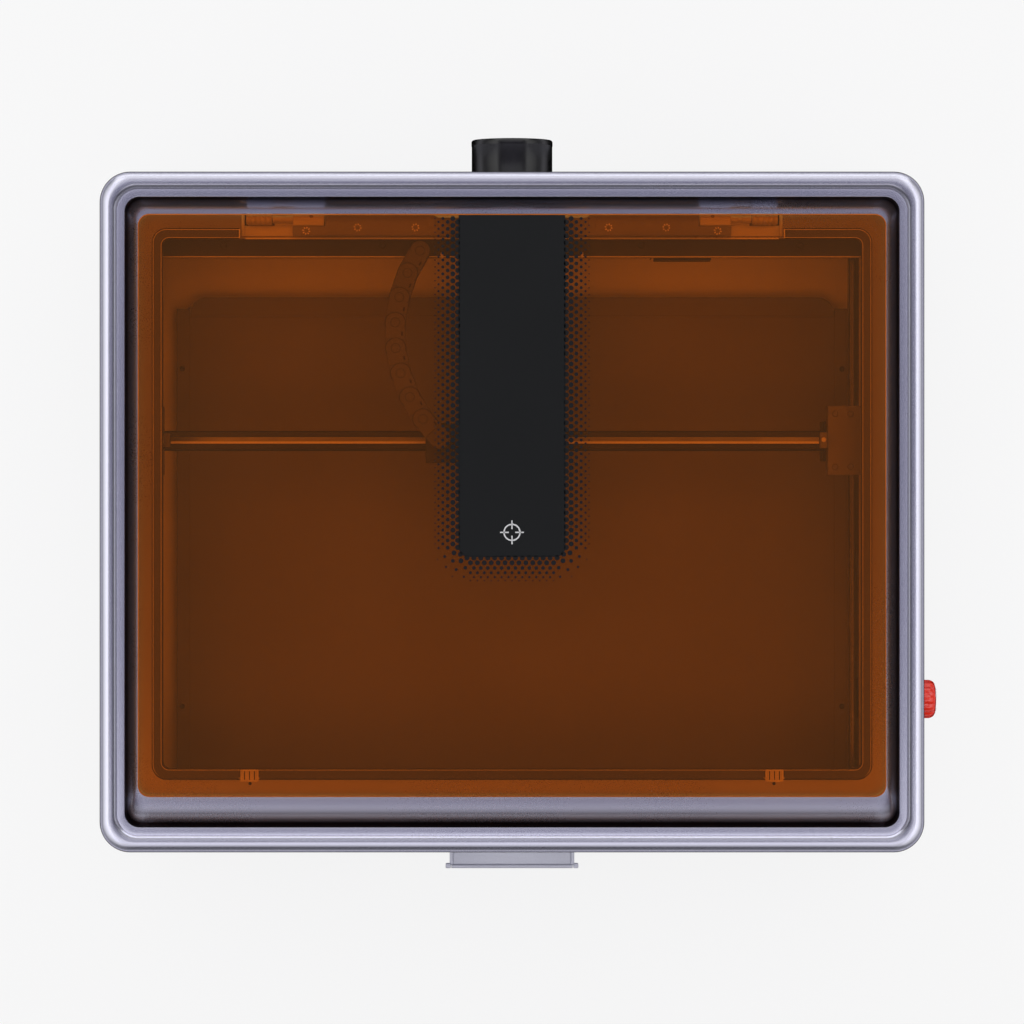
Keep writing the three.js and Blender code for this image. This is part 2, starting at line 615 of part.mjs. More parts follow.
const inMotor = [X_BELT.right, BEAM.y];
const pulleyFoot = X_BELT.z - half - GAP - PULLEY.flangeWidth;
const xMotorBody = block([219, 247], [BEAM.y - 14, BEAM.y + 14], [128, pulleyFoot - 1.2]);
const xPulleyProfile = [[0, pulleyFoot - 0.9], [2.5, pulleyFoot - 0.9], [2.5, pulleyFoot]];
xPulleyProfile.push(...pulleyProfile(X_BELT.z, 0).slice(1));
const xBeltLoop = beltShape(X_BELT.left, X_BELT.right, BEAM.y);
const guideRail = block([-238, 214], [BEAM.y - 2.2, BEAM.y + 2.2], [BEAM.top + GAP, 209]);

piece('gantry_beam', gantryBeam(), darkMetal);
piece('x_guide_rail', guideRail, steel);
piece('y_carriage_left', yCarriage(-1, [244, 263], Y_BELT.left, ROD.left), darkMetal);
piece('y_carriage_right', yCarriage(1, [220.5, 247], Y_BELT.right, ROD.right), darkMetal);
piece('x_motor', xMotorBody, darkMetal);
piece('x_drive_pulley', turned('z', xPulleyProfile, inMotor), steel);
piece('x_idler', turned('z', pulleyProfile(X_BELT.z, 2.95), [X_BELT.left, BEAM.y]), steel);
piece('x_belt', slab(xBeltLoop, [X_BELT.z - half, X_BELT.z + half], 8), rubber);

// ---------------------------------------------------------------- laser head

function headCarriage() {
  const plate = block([-24, 24], [36.5, 42.5], [160, 217]);
  const saddle = block([-24, 24], [40, 57.5], [209.4, 217]);
  const cablePost = block([-6, 4], [44, 52], [216, 226]);
  return join(plate, saddle, cablePost);
}

/** Finned laser housing. */
function laserModule() {
  const body = block([-17, 17], [1, 36.2], [112, 190]);
  const fins = [-13.5, -8.1, -2.7, 2.7, 8.1, 13.5].map((x) =>
    block([x - 1.5, x + 1.5], [0, 7], [124, 191]));
  return cut(body, ...fins);
}

const laserAxis = [0, 18.6];
const nozzleProfile = [[2, 101], [7, 101], [11, 106], [11, 111.7], [2, 111.7], [2, 101]];
const knobProfile = [[0, 24.4], [3, 24.4], [3, 26], [6, 26], [6, 31.4], [5.4, 32], [0, 32]];

piece('head_carriage', headCarriage(), darkMetal);
piece('laser_module', laserModule(), darkMetal);
piece('laser_nozzle', turned('z', nozzleProfile, laserAxis), steel);
piece('focus_knob', turned('x', knobProfile, [36, 203]), blackPlastic);

// ---------------------------------------------------------------- cable chain

/** Flat band of the chain: a run off the shelf, a wide bend to the left, and a run over the beam. */
function dragChain() {
  const width = 15;
  const bend = { x: 20.5, y: 124, radius: 101.5, from: 150, to: 222 };
  const at = (t, radius) => [bend.x + radius * Math.cos(t), bend.y + radius * Math.sin(t)];
  const lead = (t, radius, run) => {
    const [x, y] = at(t, radius);
    return [x - run * Math.sin(t), y + run * Math.cos(t)];
  };
  const angles = arc(bend.from, bend.to, 9);
  const start = angles[0];
  const end = angles[angles.length - 1];
  const side = (radius) => [lead(start, radius, -10), ...angles.map((t) => at(t, radius)), lead(end, radius, 14)];
  const outer = side(bend.radius + width / 2);
  const inner = side(bend.radius - width / 2).reverse();
  return slab(polygon([...outer, ...inner]), [230, 241]);
}

piece('drag_chain', dragChain(), blackPlastic);
piece('head_cable', bar('x', 3.5, [-35.7, -6.3], [48, 222], 10), rubber);

// ---------------------------------------------------------------- frame

// Origin on the floor, under the middle of the whole engraver with its spigot, button and pull.
const bounds = new THREE.Box3().setFromObject(model);
const middle = bounds.getCenter(new THREE.Vector3());
model.position.set(-middle.x, -middle.y, -bounds.min.z);

export default model;
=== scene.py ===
"""Looks of the desktop laser engraver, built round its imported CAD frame.

Pieces are drawn in millimetres in a frame whose origin is on the floor under the middle of the bezel,
and `place` turns that into the row frame in metres. Sizes come from the boxes of the CAD nodes.
"""
from itertools import product
from math import atan2, cos, pi, radians, sin, tan, tau

import bmesh
import bpy
from mathutils import Matrix, Vector


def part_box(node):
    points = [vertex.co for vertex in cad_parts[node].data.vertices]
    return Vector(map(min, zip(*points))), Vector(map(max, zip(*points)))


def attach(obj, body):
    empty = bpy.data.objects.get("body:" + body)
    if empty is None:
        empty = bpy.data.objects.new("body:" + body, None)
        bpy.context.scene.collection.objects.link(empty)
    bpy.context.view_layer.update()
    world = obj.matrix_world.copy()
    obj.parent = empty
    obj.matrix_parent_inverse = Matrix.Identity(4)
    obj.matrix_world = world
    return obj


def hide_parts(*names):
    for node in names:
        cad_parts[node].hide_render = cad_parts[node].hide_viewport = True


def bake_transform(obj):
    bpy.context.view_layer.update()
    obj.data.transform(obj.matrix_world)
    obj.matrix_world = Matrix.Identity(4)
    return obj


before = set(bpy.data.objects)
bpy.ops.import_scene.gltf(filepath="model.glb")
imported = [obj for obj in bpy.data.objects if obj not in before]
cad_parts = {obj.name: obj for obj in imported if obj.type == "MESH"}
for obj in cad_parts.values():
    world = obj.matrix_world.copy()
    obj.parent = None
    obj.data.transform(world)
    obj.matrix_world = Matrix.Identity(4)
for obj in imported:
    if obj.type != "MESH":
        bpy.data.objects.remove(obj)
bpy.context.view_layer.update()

MM = 0.001
BEZEL_LO, BEZEL_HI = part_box("top_bezel")
CENTRE = Vector(((BEZEL_LO.x + BEZEL_HI.x) / 2, (BEZEL_LO.y + BEZEL_HI.y) / 2, 0))


def place(point):
    """Millimetres round the middle of the bezel to the row frame."""
    return Vector(point) * MM + CENTRE


def node_mm(*names):
    """Lowest and highest corner of the CAD nodes together, in the drawing frame."""
    corners = [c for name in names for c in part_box(name)]
    local = [(c - CENTRE) / MM for c in corners]
    return Vector(map(min, *local)), Vector(map(max, *local))


def middle_of(name):
    """Middle of a CAD node, in the drawing frame."""
    return tuple((a + b) / 2 for a, b in zip(*node_mm(name)))


def mirrored(sign, lo, hi):
    """Corners of a block on the right, kept there or mirrored to the left by the sign."""
    x0, x1 = sorted((sign * lo[0], sign * hi[0]))
    return (x0, *lo[1:]), (x1, *hi[1:])


RIM_LO, RIM_HI = node_mm("top_bezel")
LID_LO, LID_HI = node_mm("lid_panel")
BED_LO, BED_HI = node_mm("work_bed")
SHELF_LO, SHELF_HI = node_mm("rear_shelf")
WINDOW = {"x": 240.8, "rear": 188.2, "front": -176.9}  # edges of the opening under the lid
LEDGE_Z = 250.2
HINGE_Y, HINGE_Z = 202.0, 253.3
SIDE_X, WALL_Y = 280.5, 231.0  # outer faces of the side walls and of the front and rear panels
SIDES = {"left": -1, "right": 1}


# ------------------------------------------------------------------ camera, light, floor

CAMERA_ABOVE_RIM = 3.8
VIEW_WIDTH = 0.703  # metres across the picture at the height of the rim
SENSOR = 36.0


def link(name, data):
    obj = bpy.data.objects.new(name, data)
    bpy.context.scene.collection.objects.link(obj)
    return obj


def make_camera():
    data = bpy.data.cameras.new("camera")
    data.sensor_width = SENSOR
    data.lens = SENSOR * CAMERA_ABOVE_RIM / VIEW_WIDTH
    data.clip_end = 50
    camera = link("camera", data)
    camera.location = (CENTRE.x, CENTRE.y, BEZEL_HI.z + CAMERA_ABOVE_RIM)
    bpy.context.scene.camera = camera


def area_light(name, location, size, power, target=(0, 0, 0.26), spread=180):
    data = bpy.data.lights.new(name, "AREA")
    data.shape = "RECTANGLE"
    data.size, data.size_y = size
    data.energy = power
    data.spread = radians(spread)
    light = link(name, data)
    light.location = location
    light.rotation_euler = (Vector(target) - Vector(location)).to_track_quat("-Z", "Y").to_euler()
    light.visible_camera = False
    return light


WORLD_BANDS = (  # height from straight down to straight up, and the light from there
    (-0.6, (0, 0, 0)), (-0.2, (0.36, 0.355, 0.39)), (0.0, (0.12, 0.12, 0.13)), (0.25, (0.1, 0.1, 0.11)),
    (0.6, (0.0, 0.0, 0.0)), (1.0, (0.095, 0.093, 0.125)),
)
WORLD_STRENGTH = 2.0
FLOOR_REACH, FLOOR_SIDES, FLOOR_GLOW = 12, 48, 0.84
FILL_SOFTBOX = ((0, 0, 3.4), (2.6, 2.6), 45)  # where, size, watts; kept out of reflections
SOFTBOXES = {  # where, size, watts, then what it aims at and its spread in degrees, unless the usual
    "rear_high": ((0, 0.6, 1.3), (1.4, 0.5), 0.75),
    "rear_low": ((0, 1.1, 0.55), (1.8, 0.4), 2.1),
    "rear_near": ((0, 0.75, 0.75), (1.4, 0.4), 1.5),
    "front": ((0, -0.66, 1.2), (1.4, 0.8), 0.4, (0, -0.57, 0.87), 68),
    "front_top": ((0, -0.09, 0.7), (1.4, 0.28), 0.02, (0, -0.247, 0.27), 42),
    "left": ((-0.72, 0, 0.52), (1.4, 0.7), 1.35, (-0.58, 0, 0.2), 110),
    "right": ((0.72, 0, 0.52), (1.4, 0.7), 1.35, (0.58, 0, 0.2), 110),
}


def make_world():
    """Surroundings as reflections see them: a bright band under the horizon, dark above, soft overhead."""
    world = bpy.data.worlds.new("studio")
    world.use_nodes = True
    tree = world.node_tree
    parts = add_node(tree, "SeparateXYZ", {"Vector": add_node(tree, "TexCoord").outputs["Generated"]})
    height = add_node(tree, "MapRange", {"Value": parts.outputs["Z"], "From Min": -1})
    bands = add_node(tree, "ValToRGB", {"Fac": height.outputs["Result"]})
    elements = bands.color_ramp.elements
    while len(elements) < len(WORLD_BANDS):
        elements.new(0.5)
    for element, (z, colour) in zip(elements, WORLD_BANDS):
        element.position = (z + 1) / 2
        element.color = (*colour, 1)
    background = tree.nodes["Background"]
    tree.links.new(bands.outputs["Color"], background.inputs["Color"])
    background.inputs["Strength"].default_value = WORLD_STRENGTH
    bpy.context.scene.world = world


def make_floor():
    """Pale floor and a pale curtain far round it, both left out of reflections."""
    sides = FLOOR_SIDES
    corners = [(x, y, z) for z in (0, FLOOR_REACH) for x, y in circle(FLOOR_REACH, sides)]
    material, _, shader = new_material("floor")
    for socket, value in (("Base Color", (0.1, 0.1, 0.1, 1)), ("Roughness", 1.0), ("Specular IOR Level", 0.0),
                          ("Emission Color", (1, 1, 1, 1)), ("Emission Strength", FLOOR_GLOW)):
        shader.inputs[socket].default_value = value
    wall = [(i, (i + 1) % sides, sides + (i + 1) % sides, sides + i) for i in range(sides)]
    for name, faces in (("floor", [tuple(range(sides))]), ("curtain", wall)):
        mesh = bpy.data.meshes.new(name)
        mesh.from_pydata(corners, [], faces)
        obj = link(name, mesh)
        mesh.materials.append(material)
        obj.visible_glossy = False
        obj.visible_diffuse = name == "floor"


def make_stage():
    bpy.context.scene.view_settings.view_transform = "Standard"
    make_world()
    make_floor()
    area_light("fill_softbox", *FILL_SOFTBOX).visible_glossy = False
    for name, setting in SOFTBOXES.items():
        area_light(f"{name}_softbox", *setting)


# ------------------------------------------------------------------ materials

def new_material(name):
    material = bpy.data.materials.new(name)
    material.use_nodes = True
    tree = material.node_tree
    return material, tree, tree.nodes["Principled BSDF"]


def add_node(tree, kind, inputs=None):
    """New shader node; each input is given a value or the socket that feeds it."""
    node = tree.nodes.new(f"ShaderNode{kind}")
    for key, value in (inputs or {}).items():
        if isinstance(value, bpy.types.NodeSocket):
            tree.links.new(value, node.inputs[key])
        else:
            node.inputs[key].default_value = value
    return node


def noise(tree, scale, detail=2.0, stretch=(1, 1, 1)):
    """Noise over the object's own space, in metres; stretch lengthens the grain along an axis."""
    spot = add_node(tree, "TexCoord").outputs["Object"]
    spot = add_node(tree, "Mapping", {"Vector": spot, "Scale": stretch}).outputs["Vector"]
    return add_node(tree, "TexNoise", {"Vector": spot, "Scale": scale, "Detail": detail}).outputs["Fac"]


def ramp(tree, factor, low, high, colours):
    """Factor between low and high spread over the two colours."""
    node = add_node(tree, "ValToRGB", {"Fac": factor})
    for element, position, colour in zip(node.color_ramp.elements, (low, high), colours):
        element.position = position
        element.color = (*colour, 1)
    return node.outputs["Color"]


FINISHES, SLOTS = {}, {}
PAINTED_SHADE_TOP, PAINTED_SHADE_FOOT = 0.2575, 0.2508  # heights in metres between which shade is painted into the recess, near black above the upper one


def surface(key, slot, low, high, roughness, metallic, grain, bump=0.06, stretch=(1, 1, 1), depth=0.00008,
            blotch=9, **sockets):
    """Painted, plated or moulded finish: soft blotches of tone, uneven gloss and a fine grain.

    low and high are the two tones, roughness a range; sockets are set on the shader itself.
    """
    material, tree, shader = new_material(key)
    fine = noise(tree, grain, 2, stretch)
    tone = add_node(tree, "Mix", {"Factor": 0.45, "A": noise(tree, blotch, 3), "B": fine}).outputs["Result"]
    gloss = add_node(tree, "MapRange", {"Value": tone, "From Min": 0.35, "From Max": 0.65,
                                        "To Min": roughness[0], "To Max": roughness[1]})
    relief = add_node(tree, "Bump", {"Height": fine, "Strength": bump, "Distance": depth})
    tree.links.new(ramp(tree, tone, 0.38, 0.62, (low, high)), shader.inputs["Base Color"])
    tree.links.new(gloss.outputs["Result"], shader.inputs["Roughness"])
    tree.links.new(relief.outputs["Normal"], shader.inputs["Normal"])
    shader.inputs["Metallic"].default_value = metallic
    for socket, value in sockets.items():
        shader.inputs[socket.replace("_", " ")].default_value = value
    FINISHES[key], SLOTS[key] = material, slot


def paint_shade(key, high, low):
    """Paint shade into a finish, darker towards its top edge: near black above `high`, its own colour below `low`.
    """
    tree = FINISHES[key].node_tree
    colour = tree.nodes["Principled BSDF"].inputs["Base Color"]
    parts = add_node(tree, "SeparateXYZ", {"Vector": add_node(tree, "TexCoord").outputs["Object"]})
    depth = add_node(tree, "MapRange", {"Value": parts.outputs["Z"], "From Min": high, "From Max": low})
    mix = add_node(tree, "Mix")
    mix.data_type = "RGBA"
    dark, own = [socket for socket in mix.inputs if socket.type == "RGBA"]
    # Near-black colour of the painted shade.
    dark.default_value = (0.02, 0.012, 0.016, 1)
    tree.links.new(depth.outputs["Result"], mix.inputs["Factor"])
    tree.links.new(colour.links[0].from_socket, own)
    tree.links.new(next(socket for socket in mix.outputs if socket.type == "RGBA"), colour)


def acrylic(key, slot, tint, haze, share, gloss):
    """Clear coloured sheet: each face tints what passes through, adds a milky haze and a thin gloss."""
    material, tree, shader = new_material(key)
    tree.nodes.remove(shader)
    clear = add_node(tree, "BsdfTransparent", {"Color": (*tint, 1)}).outputs["BSDF"]
    milky = add_node(tree, "BsdfDiffuse", {"Color": ramp(tree, noise(tree, 14, 3), 0.3, 0.7, haze)}).outputs["BSDF"]
    body = add_node(tree, "MixShader", {"Fac": share, 1: clear, 2: milky}).outputs["Shader"]
    shine = add_node(tree, "BsdfGlossy", {"Color": (0.8, 0.8, 0.8, 1), "Roughness": gloss}).outputs["BSDF"]
    fresnel = add_node(tree, "Fresnel", {"IOR": 1.16}).outputs["Fac"]
    mix = add_node(tree, "MixShader", {"Fac": fresnel, 1: body, 2: shine}).outputs["Shader"]
    tree.links.new(mix, tree.nodes["Material Output"].inputs["Surface"])
    FINISHES[key], SLOTS[key] = material, slot


def make_finishes():
    surface("silver", "silver_metal", (0.75, 0.745, 0.86), (0.77, 0.765, 0.88), (0.25, 0.265), 0.95, 1400, 0.006)
    surface("lavender", "silver_metal", (0.75, 0.745, 0.88), (0.77, 0.765, 0.9), (0.25, 0.27), 0.95, 1400, 0.006)
    # A darker copy of the lavender for the cove of the recess: painted shade, deepened to near black towards the
    # lip.
    surface("recess", "silver_metal", (0.65, 0.645, 0.78), (0.68, 0.675, 0.81), (0.27, 0.29), 0.95, 1400, 0.006)
    paint_shade("recess", PAINTED_SHADE_TOP, PAINTED_SHADE_FOOT)
    surface("panel", "silver_metal", (0.62, 0.62, 0.70), (0.67, 0.67, 0.75), (0.38, 0.44), 0.35, 1200, 0.05)
    surface("inside", "silver_metal", (0.76, 0.75, 0.76), (0.84, 0.83, 0.84), (0.5, 0.6), 0.0, 700)
    surface("dark", "dark_metal", (0.030, 0.029, 0.030), (0.045, 0.043, 0.045), (0.42, 0.55), 0.2, 1200, 0.08)
    surface("graphite", "dark_metal", (0.05, 0.048, 0.048), (0.07, 0.068, 0.068), (0.42, 0.52), 0.3, 1200)
    surface("hinge", "dark_metal", (0.20, 0.195, 0.20), (0.25, 0.245, 0.25), (0.4, 0.5), 0.3, 900, 0.03)
    surface("anodised", "laser_housing", (0.028, 0.028, 0.032), (0.045, 0.044, 0.05), (0.3, 0.4), 0.8, 900)
    # Pale diffuse finish that stays bright under any light: painted highlight for thin edge strips, seam beads,
    # frames, washers and screw heads.
    surface("pale", "bare_steel", (0.86, 0.86, 0.86), (0.94, 0.94, 0.94), (0.4, 0.46), 0.15, 400, 0.01)
    surface("steel", "bare_steel", (0.55, 0.55, 0.57), (0.7, 0.7, 0.71), (0.16, 0.28), 1.0, 500, 0.04, (0.06, 1, 1))
    surface("rod", "bare_steel", (0.45, 0.45, 0.46), (0.55, 0.55, 0.56), (0.2, 0.3), 1.0, 500, 0.03, (1, 0.06, 1))
    surface("tin", "power_case", (0.45, 0.46, 0.47), (0.6, 0.61, 0.62), (0.35, 0.5), 1.0, 60)
    surface("brass", "brass_nozzle", (0.6, 0.42, 0.18), (0.72, 0.52, 0.25), (0.2, 0.32), 1.0, 700,
            stretch=(1, 1, 0.05))
    surface("bed", "bed_metal", (0.163, 0.157, 0.154), (0.205, 0.198, 0.195), (0.5, 0.62), 0.1, 1100, 0.15,
            depth=0.0001, blotch=4)
    surface("plastic", "black_plastic", (0.012, 0.012, 0.013), (0.022, 0.022, 0.024), (0.38, 0.5), 0, 1500, 0.12)
    surface("gloss_black", "black_plastic", (0.004, 0.0035, 0.0035), (0.006, 0.0055, 0.0055), (0.2, 0.24), 0, 300,
            0.01, Specular_IOR_Level=0.75)
    surface("chain", "black_plastic", (0.085, 0.08, 0.078), (0.115, 0.109, 0.106), (0.45, 0.58), 0, 1300, 0.1)
    surface("rubber", "rubber", (0.014, 0.013, 0.012), (0.026, 0.024, 0.023), (0.7, 0.85), 0, 800, 0.2)
    surface("seal", "rubber", (0.075, 0.073, 0.072), (0.095, 0.093, 0.092), (0.6, 0.75), 0, 800, 0.1)
    surface("red", "stop_red", (0.80, 0.02, 0.005), (0.90, 0.035, 0.01), (0.14, 0.2), 0, 200, 0.01,
            Coat_Weight=0.7, Coat_Roughness=0.05)
    surface("yellow", "stop_yellow", (0.8, 0.28, 0.01), (0.9, 0.38, 0.02), (0.22, 0.32), 0, 300, 0.03)
    surface("print", "button_plastic", (0.0078, 0.0085, 0.0088), (0.0095, 0.0102, 0.0108), (0.55, 0.65), 0, 2500,
            0.05, Specular_IOR_Level=0.25)
    surface("white", "button_plastic", (0.62, 0.62, 0.62), (0.72, 0.72, 0.72), (0.5, 0.6), 0, 2500, 0.03)
    surface("board", "circuit_board", (0.008, 0.06, 0.025), (0.015, 0.09, 0.04), (0.25, 0.4), 0, 120)
    surface("lamp", "button_plastic", (0.35, 0.6, 0.75), (0.45, 0.7, 0.85), (0.25, 0.35), 0, 200)
    # Opaque bright orange for the lid's edge faces: painted glow, standing in for light carried along the sheet to
    # its edges.
    surface("amber_edge_painted_glow", "amber_acrylic", (0.50, 0.13, 0.02), (0.6, 0.17, 0.03), (0.1, 0.16), 0, 150, 0.02)
    acrylic("amber", "amber_acrylic", (0.93, 0.605, 0.25), ((0.48, 0.25, 0.092), (0.56, 0.28, 0.102)), 0.06, 0.07)


# ------------------------------------------------------------------ mesh tools

def circle(radius, steps, phase=0.0):
    return [(radius * cos(phase + tau * i / steps), radius * sin(phase + tau * i / steps))
            for i in range(steps)]


def arc_points(cx, cy, radius, start, end, steps):
    """Points of an arc, in degrees, both ends included."""
    angles = [radians(start + (end - start) * i / steps) for i in range(steps + 1)]
    return [(cx + radius * cos(a), cy + radius * sin(a)) for a in angles]


def rounded_rect(lo, hi, corner, steps=8):
    """Counter-clockwise outline of a rectangle with round corners; corner is one radius or four, from
    front-right round to front-left."""
    radii = corner if isinstance(corner, (list, tuple)) else [corner] * 4
    (x0, y0), (x1, y1) = lo[:2], hi[:2]
    points = []
    spots = [(x1, y0, -1, 1), (x1, y1, -1, -1), (x0, y1, 1, -1), (x0, y0, 1, 1)]
    for quarter, ((x, y, sx, sy), radius) in enumerate(zip(spots, radii)):
        if radius:
            start = (quarter - 1) * 90
            points += arc_points(x + sx * radius, y + sy * radius, radius, start, start + 90, steps)
        else:
            points.append((x, y))
    return points


FACING = {
    "z": Matrix.Identity(4), "-z": Matrix.Rotation(pi, 4, "X"),
    "y": Matrix.Rotation(-pi / 2, 4, "X"), "-y": Matrix.Rotation(pi / 2, 4, "X"),
    "x": Matrix.Rotation(pi / 2, 4, "Y"), "-x": Matrix.Rotation(-pi / 2, 4, "Y"),
}


def about(axis, along, u, v):
    """Point at `along` on an axis and u, v across it."""
    return Vector({"x": (along, u, v), "y": (v, along, u), "z": (u, v, along)}[axis])


class Solid:
    """A mesh being put together from several closed shapes, each with its own material number."""

    def __init__(self):
        self.verts, self.faces, self.marks = [], [], []

    def add(self, verts, faces, mark=0):
        base = len(self.verts)
        self.verts += [Vector(v) for v in verts]
        self.faces += [tuple(base + i for i in face) for face in faces]
        self.marks += [mark] * len(faces)
        return self

    def loft(self, rings, mark=0, closed=False, caps=True, second=(), third=()):
        """Skin over rings of equally many points; closed joins the last ring to the first. The gaps
        between rings numbered in `second` and `third` get the next material and the one after."""
        count = len(rings[0])
        verts = [p for ring in rings for p in ring]
        faces = []
        for r in range(len(rings) if closed else len(rings) - 1):
            a, b = r * count, (r + 1) % len(rings) * count
            for i in range(count):
                j = (i + 1) % count
                faces.append((a + i, a + j, b + j, b + i))
        if caps and not closed:
            faces.append(tuple(reversed(range(count))))
            faces.append(tuple((len(rings) - 1) * count + i for i in range(count)))
        start = len(self.marks)
        self.add(verts, faces, mark)
        for step, gaps in enumerate((second, third), 1):
            for gap in gaps:
                self.marks[start + gap * count:start + (gap + 1) * count] = [mark + step] * count
        return self

    def lathe(self, profile, axis="z", at=(0, 0, 0), steps=48, mark=0, closed=False):
        """(radius, distance) points turned about an axis through `at`."""
        rings = [[about(axis, along, u, v) + Vector(at) for u, v in circle(max(radius, 0.01), steps)]
                 for radius, along in profile]
        return self.loft(rings, mark, closed)

    def prism(self, outline, bottom, top, bevel=0.0, segments=2, mark=0, turn=None):
        """Outline in XY raised from bottom to top with rounded edges; turn is a final matrix."""
        work = bmesh.new()
        base = [work.verts.new((x, y, bottom)) for x, y in outline]
        face = work.faces.new(base)
        raised = bmesh.ops.extrude_face_region(work, geom=[face])
        moved = [g for g in raised["geom"] if isinstance(g, bmesh.types.BMVert)]
        bmesh.ops.translate(work, verts=moved, vec=(0, 0, top - bottom))
        bmesh.ops.recalc_face_normals(work, faces=work.faces)
        if bevel:
            sharp = [e for e in work.edges if e.calc_face_angle(0) > radians(40)]
            bmesh.ops.bevel(work, geom=sharp, offset=bevel, segments=segments, profile=0.5, affect="EDGES",
                            clamp_overlap=True)
        if turn is not None:
            bmesh.ops.transform(work, matrix=turn, verts=work.verts)
        work.verts.index_update()
        verts = [v.co.copy() for v in work.verts]
        faces = [[v.index for v in f.verts] for f in work.faces]
        work.free()
        return self.add(verts, faces, mark)

    def block(self, lo, hi, bevel=0.4, segments=2, mark=0, turn=None):
        outline = [(lo[0], lo[1]), (hi[0], lo[1]), (hi[0], hi[1]), (lo[0], hi[1])]
        return self.prism(outline, lo[2], hi[2], bevel, segments, mark, turn)

    def tube(self, path, radius, sides=16, mark=0, closed=False):
        """Round bar along a path of points."""
        points = [Vector(p) for p in path]
        count = len(points)
        rings = []
        side = None
        for i, point in enumerate(points):
            after = points[(i + 1) % count] if closed else points[min(i + 1, count - 1)]
            before = points[(i - 1) % count] if closed else points[max(i - 1, 0)]
            along = (after - before).normalized()
            if side is None:
                side = along.orthogonal().normalized()
            side = (side - along * side.dot(along)).normalized()
            up = along.cross(side)
            rings.append([point + side * u + up * v for u, v in circle(radius, sides)])
        return self.loft(rings, mark, closed)

    def screw(self, at, normal="z", radius=3.0, height=1.8, recess="hex", mark=0):
        """Domed screw head with a hexagon or star recess, its seat at `at`, facing along `normal`."""
        def plain(angle):
            return 1

        def hexagon(angle):
            return 1 / cos((angle + pi / 6) % (pi / 3) - pi / 6)

        def star(angle):
            return 1 + 0.16 * cos(6 * angle)

        angles = [tau * i / 36 for i in range(36)]
        hole, edge = radius * 0.45, hexagon if recess == "hex" else star
        turn = Matrix.Translation(at) @ FACING[normal]
        rings = []
        for size, share, shape in ((radius, 0, plain), (radius, 0.35, plain), (radius * 0.93, 0.7, plain),
                                   (radius * 0.75, 1, plain), (hole, 1, edge), (hole * 0.96, 0.3, edge)):
            spots = [(size * shape(a) * cos(a), size * shape(a) * sin(a)) for a in angles]
            rings.append([turn @ Vector((u, v, height * share)) for u, v in spots])
        return self.loft(rings, mark)

    def mesh(self, name):
        mesh = bpy.data.meshes.new(name)
        mesh.from_pydata([place(v) for v in self.verts], [], self.faces)
        mesh.polygons.foreach_set("material_index", self.marks)
        work = bmesh.new()
        work.from_mesh(mesh)
        bmesh.ops.recalc_face_normals(work, faces=work.faces)
        work.to_mesh(mesh)
        work.free()
        return mesh


make_finishes()


def smooth(mesh, angle):
    mesh.shade_smooth()
    mesh.set_sharp_from_angle(angle=radians(angle))


def add_piece(name, solid, body, finishes, replaces="", angle=35, holes=()):
    """Makes the object, cuts the holes, gives its finishes and lets it ride on its body."""
    finishes = [finishes] if isinstance(finishes, str) else finishes
    obj = link(name, solid.mesh(name))
    for cutter in holes:
        carve(obj, cutter)
    for key in finishes:
        obj.data.materials.append(FINISHES[key])
    smooth(obj.data, angle)
    if body:
        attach(obj, body)
    if replaces:
        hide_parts(replaces)
    return obj


def add_screws(name, body, finish, spots, *shape):
    """A piece of alike screws; shape is what Solid.screw takes after the seat."""
    heads = Solid()
    for spot in spots:
        heads.screw(spot, *shape)
    add_piece(name, heads, body, finish)


def carve(obj, cutter):
    """Cuts a closed shape out of the object's mesh."""
    tool = link("cutter", cutter.mesh("cutter"))
    modifier = obj.modifiers.new("carve", "BOOLEAN")
    modifier.operation = "DIFFERENCE"
    modifier.solver = "EXACT"
    modifier.object = tool
    shape = bpy.data.meshes.new_from_object(obj.evaluated_get(bpy.context.evaluated_depsgraph_get()))
    obj.modifiers.remove(modifier)
    old = obj.data
    obj.data = shape
    bpy.data.meshes.remove(old)
    bpy.data.objects.remove(tool)
    shape.name = obj.name


def dress(node, finish, bevel):
    """Keeps a CAD node as it is and gives it a finish and rounded edges."""
    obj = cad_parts[node]
    mesh = obj.data
    if "custom_normal" in mesh.attributes:
        mesh.attributes.remove(mesh.attributes["custom_normal"])
    mesh.shade_smooth()
    obj.modifiers.new("weld", "WELD").merge_threshold = 0.00001
    flat = obj.modifiers.new("flat", "DECIMATE")
    flat.decimate_type = "DISSOLVE"
    flat.angle_limit = radians(1)
    edge = obj.modifiers.new("edge", "BEVEL")
    edge.width = bevel * MM
    edge.segments = 2
    edge.limit_method = "ANGLE"
    edge.angle_limit = radians(32)
    edge.harden_normals = True
    mesh.materials.clear()
    mesh.materials.append(FINISHES[finish])


# ------------------------------------------------------------------ bezel and case

BEAD_WIDTH, BEAD_HEIGHT = 12.2, 5.5
LIP_END, LIP_DROP = 17.3, 3.0
RECESS_END = {"side": 25.2, "rear": 26.1, "front": 37.1}
RIM_CORNER, BEAD_CORNER, LIP_CORNER, FLOOR_CORNER = 21.0, 14.3, 10.3, 8.8
FALL_STEPS = (3, 8, 14, 21, 28, 36, 44, 52, 60, 68, 76, 83, 90)  # degrees down the slope of the recess


def bezel_ring(side, rear, front, z, corner):
    """Rounded rectangle set in from the rim by different amounts on its sides."""
    lo = (RIM_LO.x + side, RIM_LO.y + front)
    hi = (RIM_HI.x - side, RIM_HI.y - rear)
    return [(x, y, z) for x, y in rounded_rect(lo, hi, corner, 14)]


def even_ring(inset, z, corner):
    return bezel_ring(inset, inset, inset, z, corner)


def between(a, b, share):
    return a + (b - a) * share


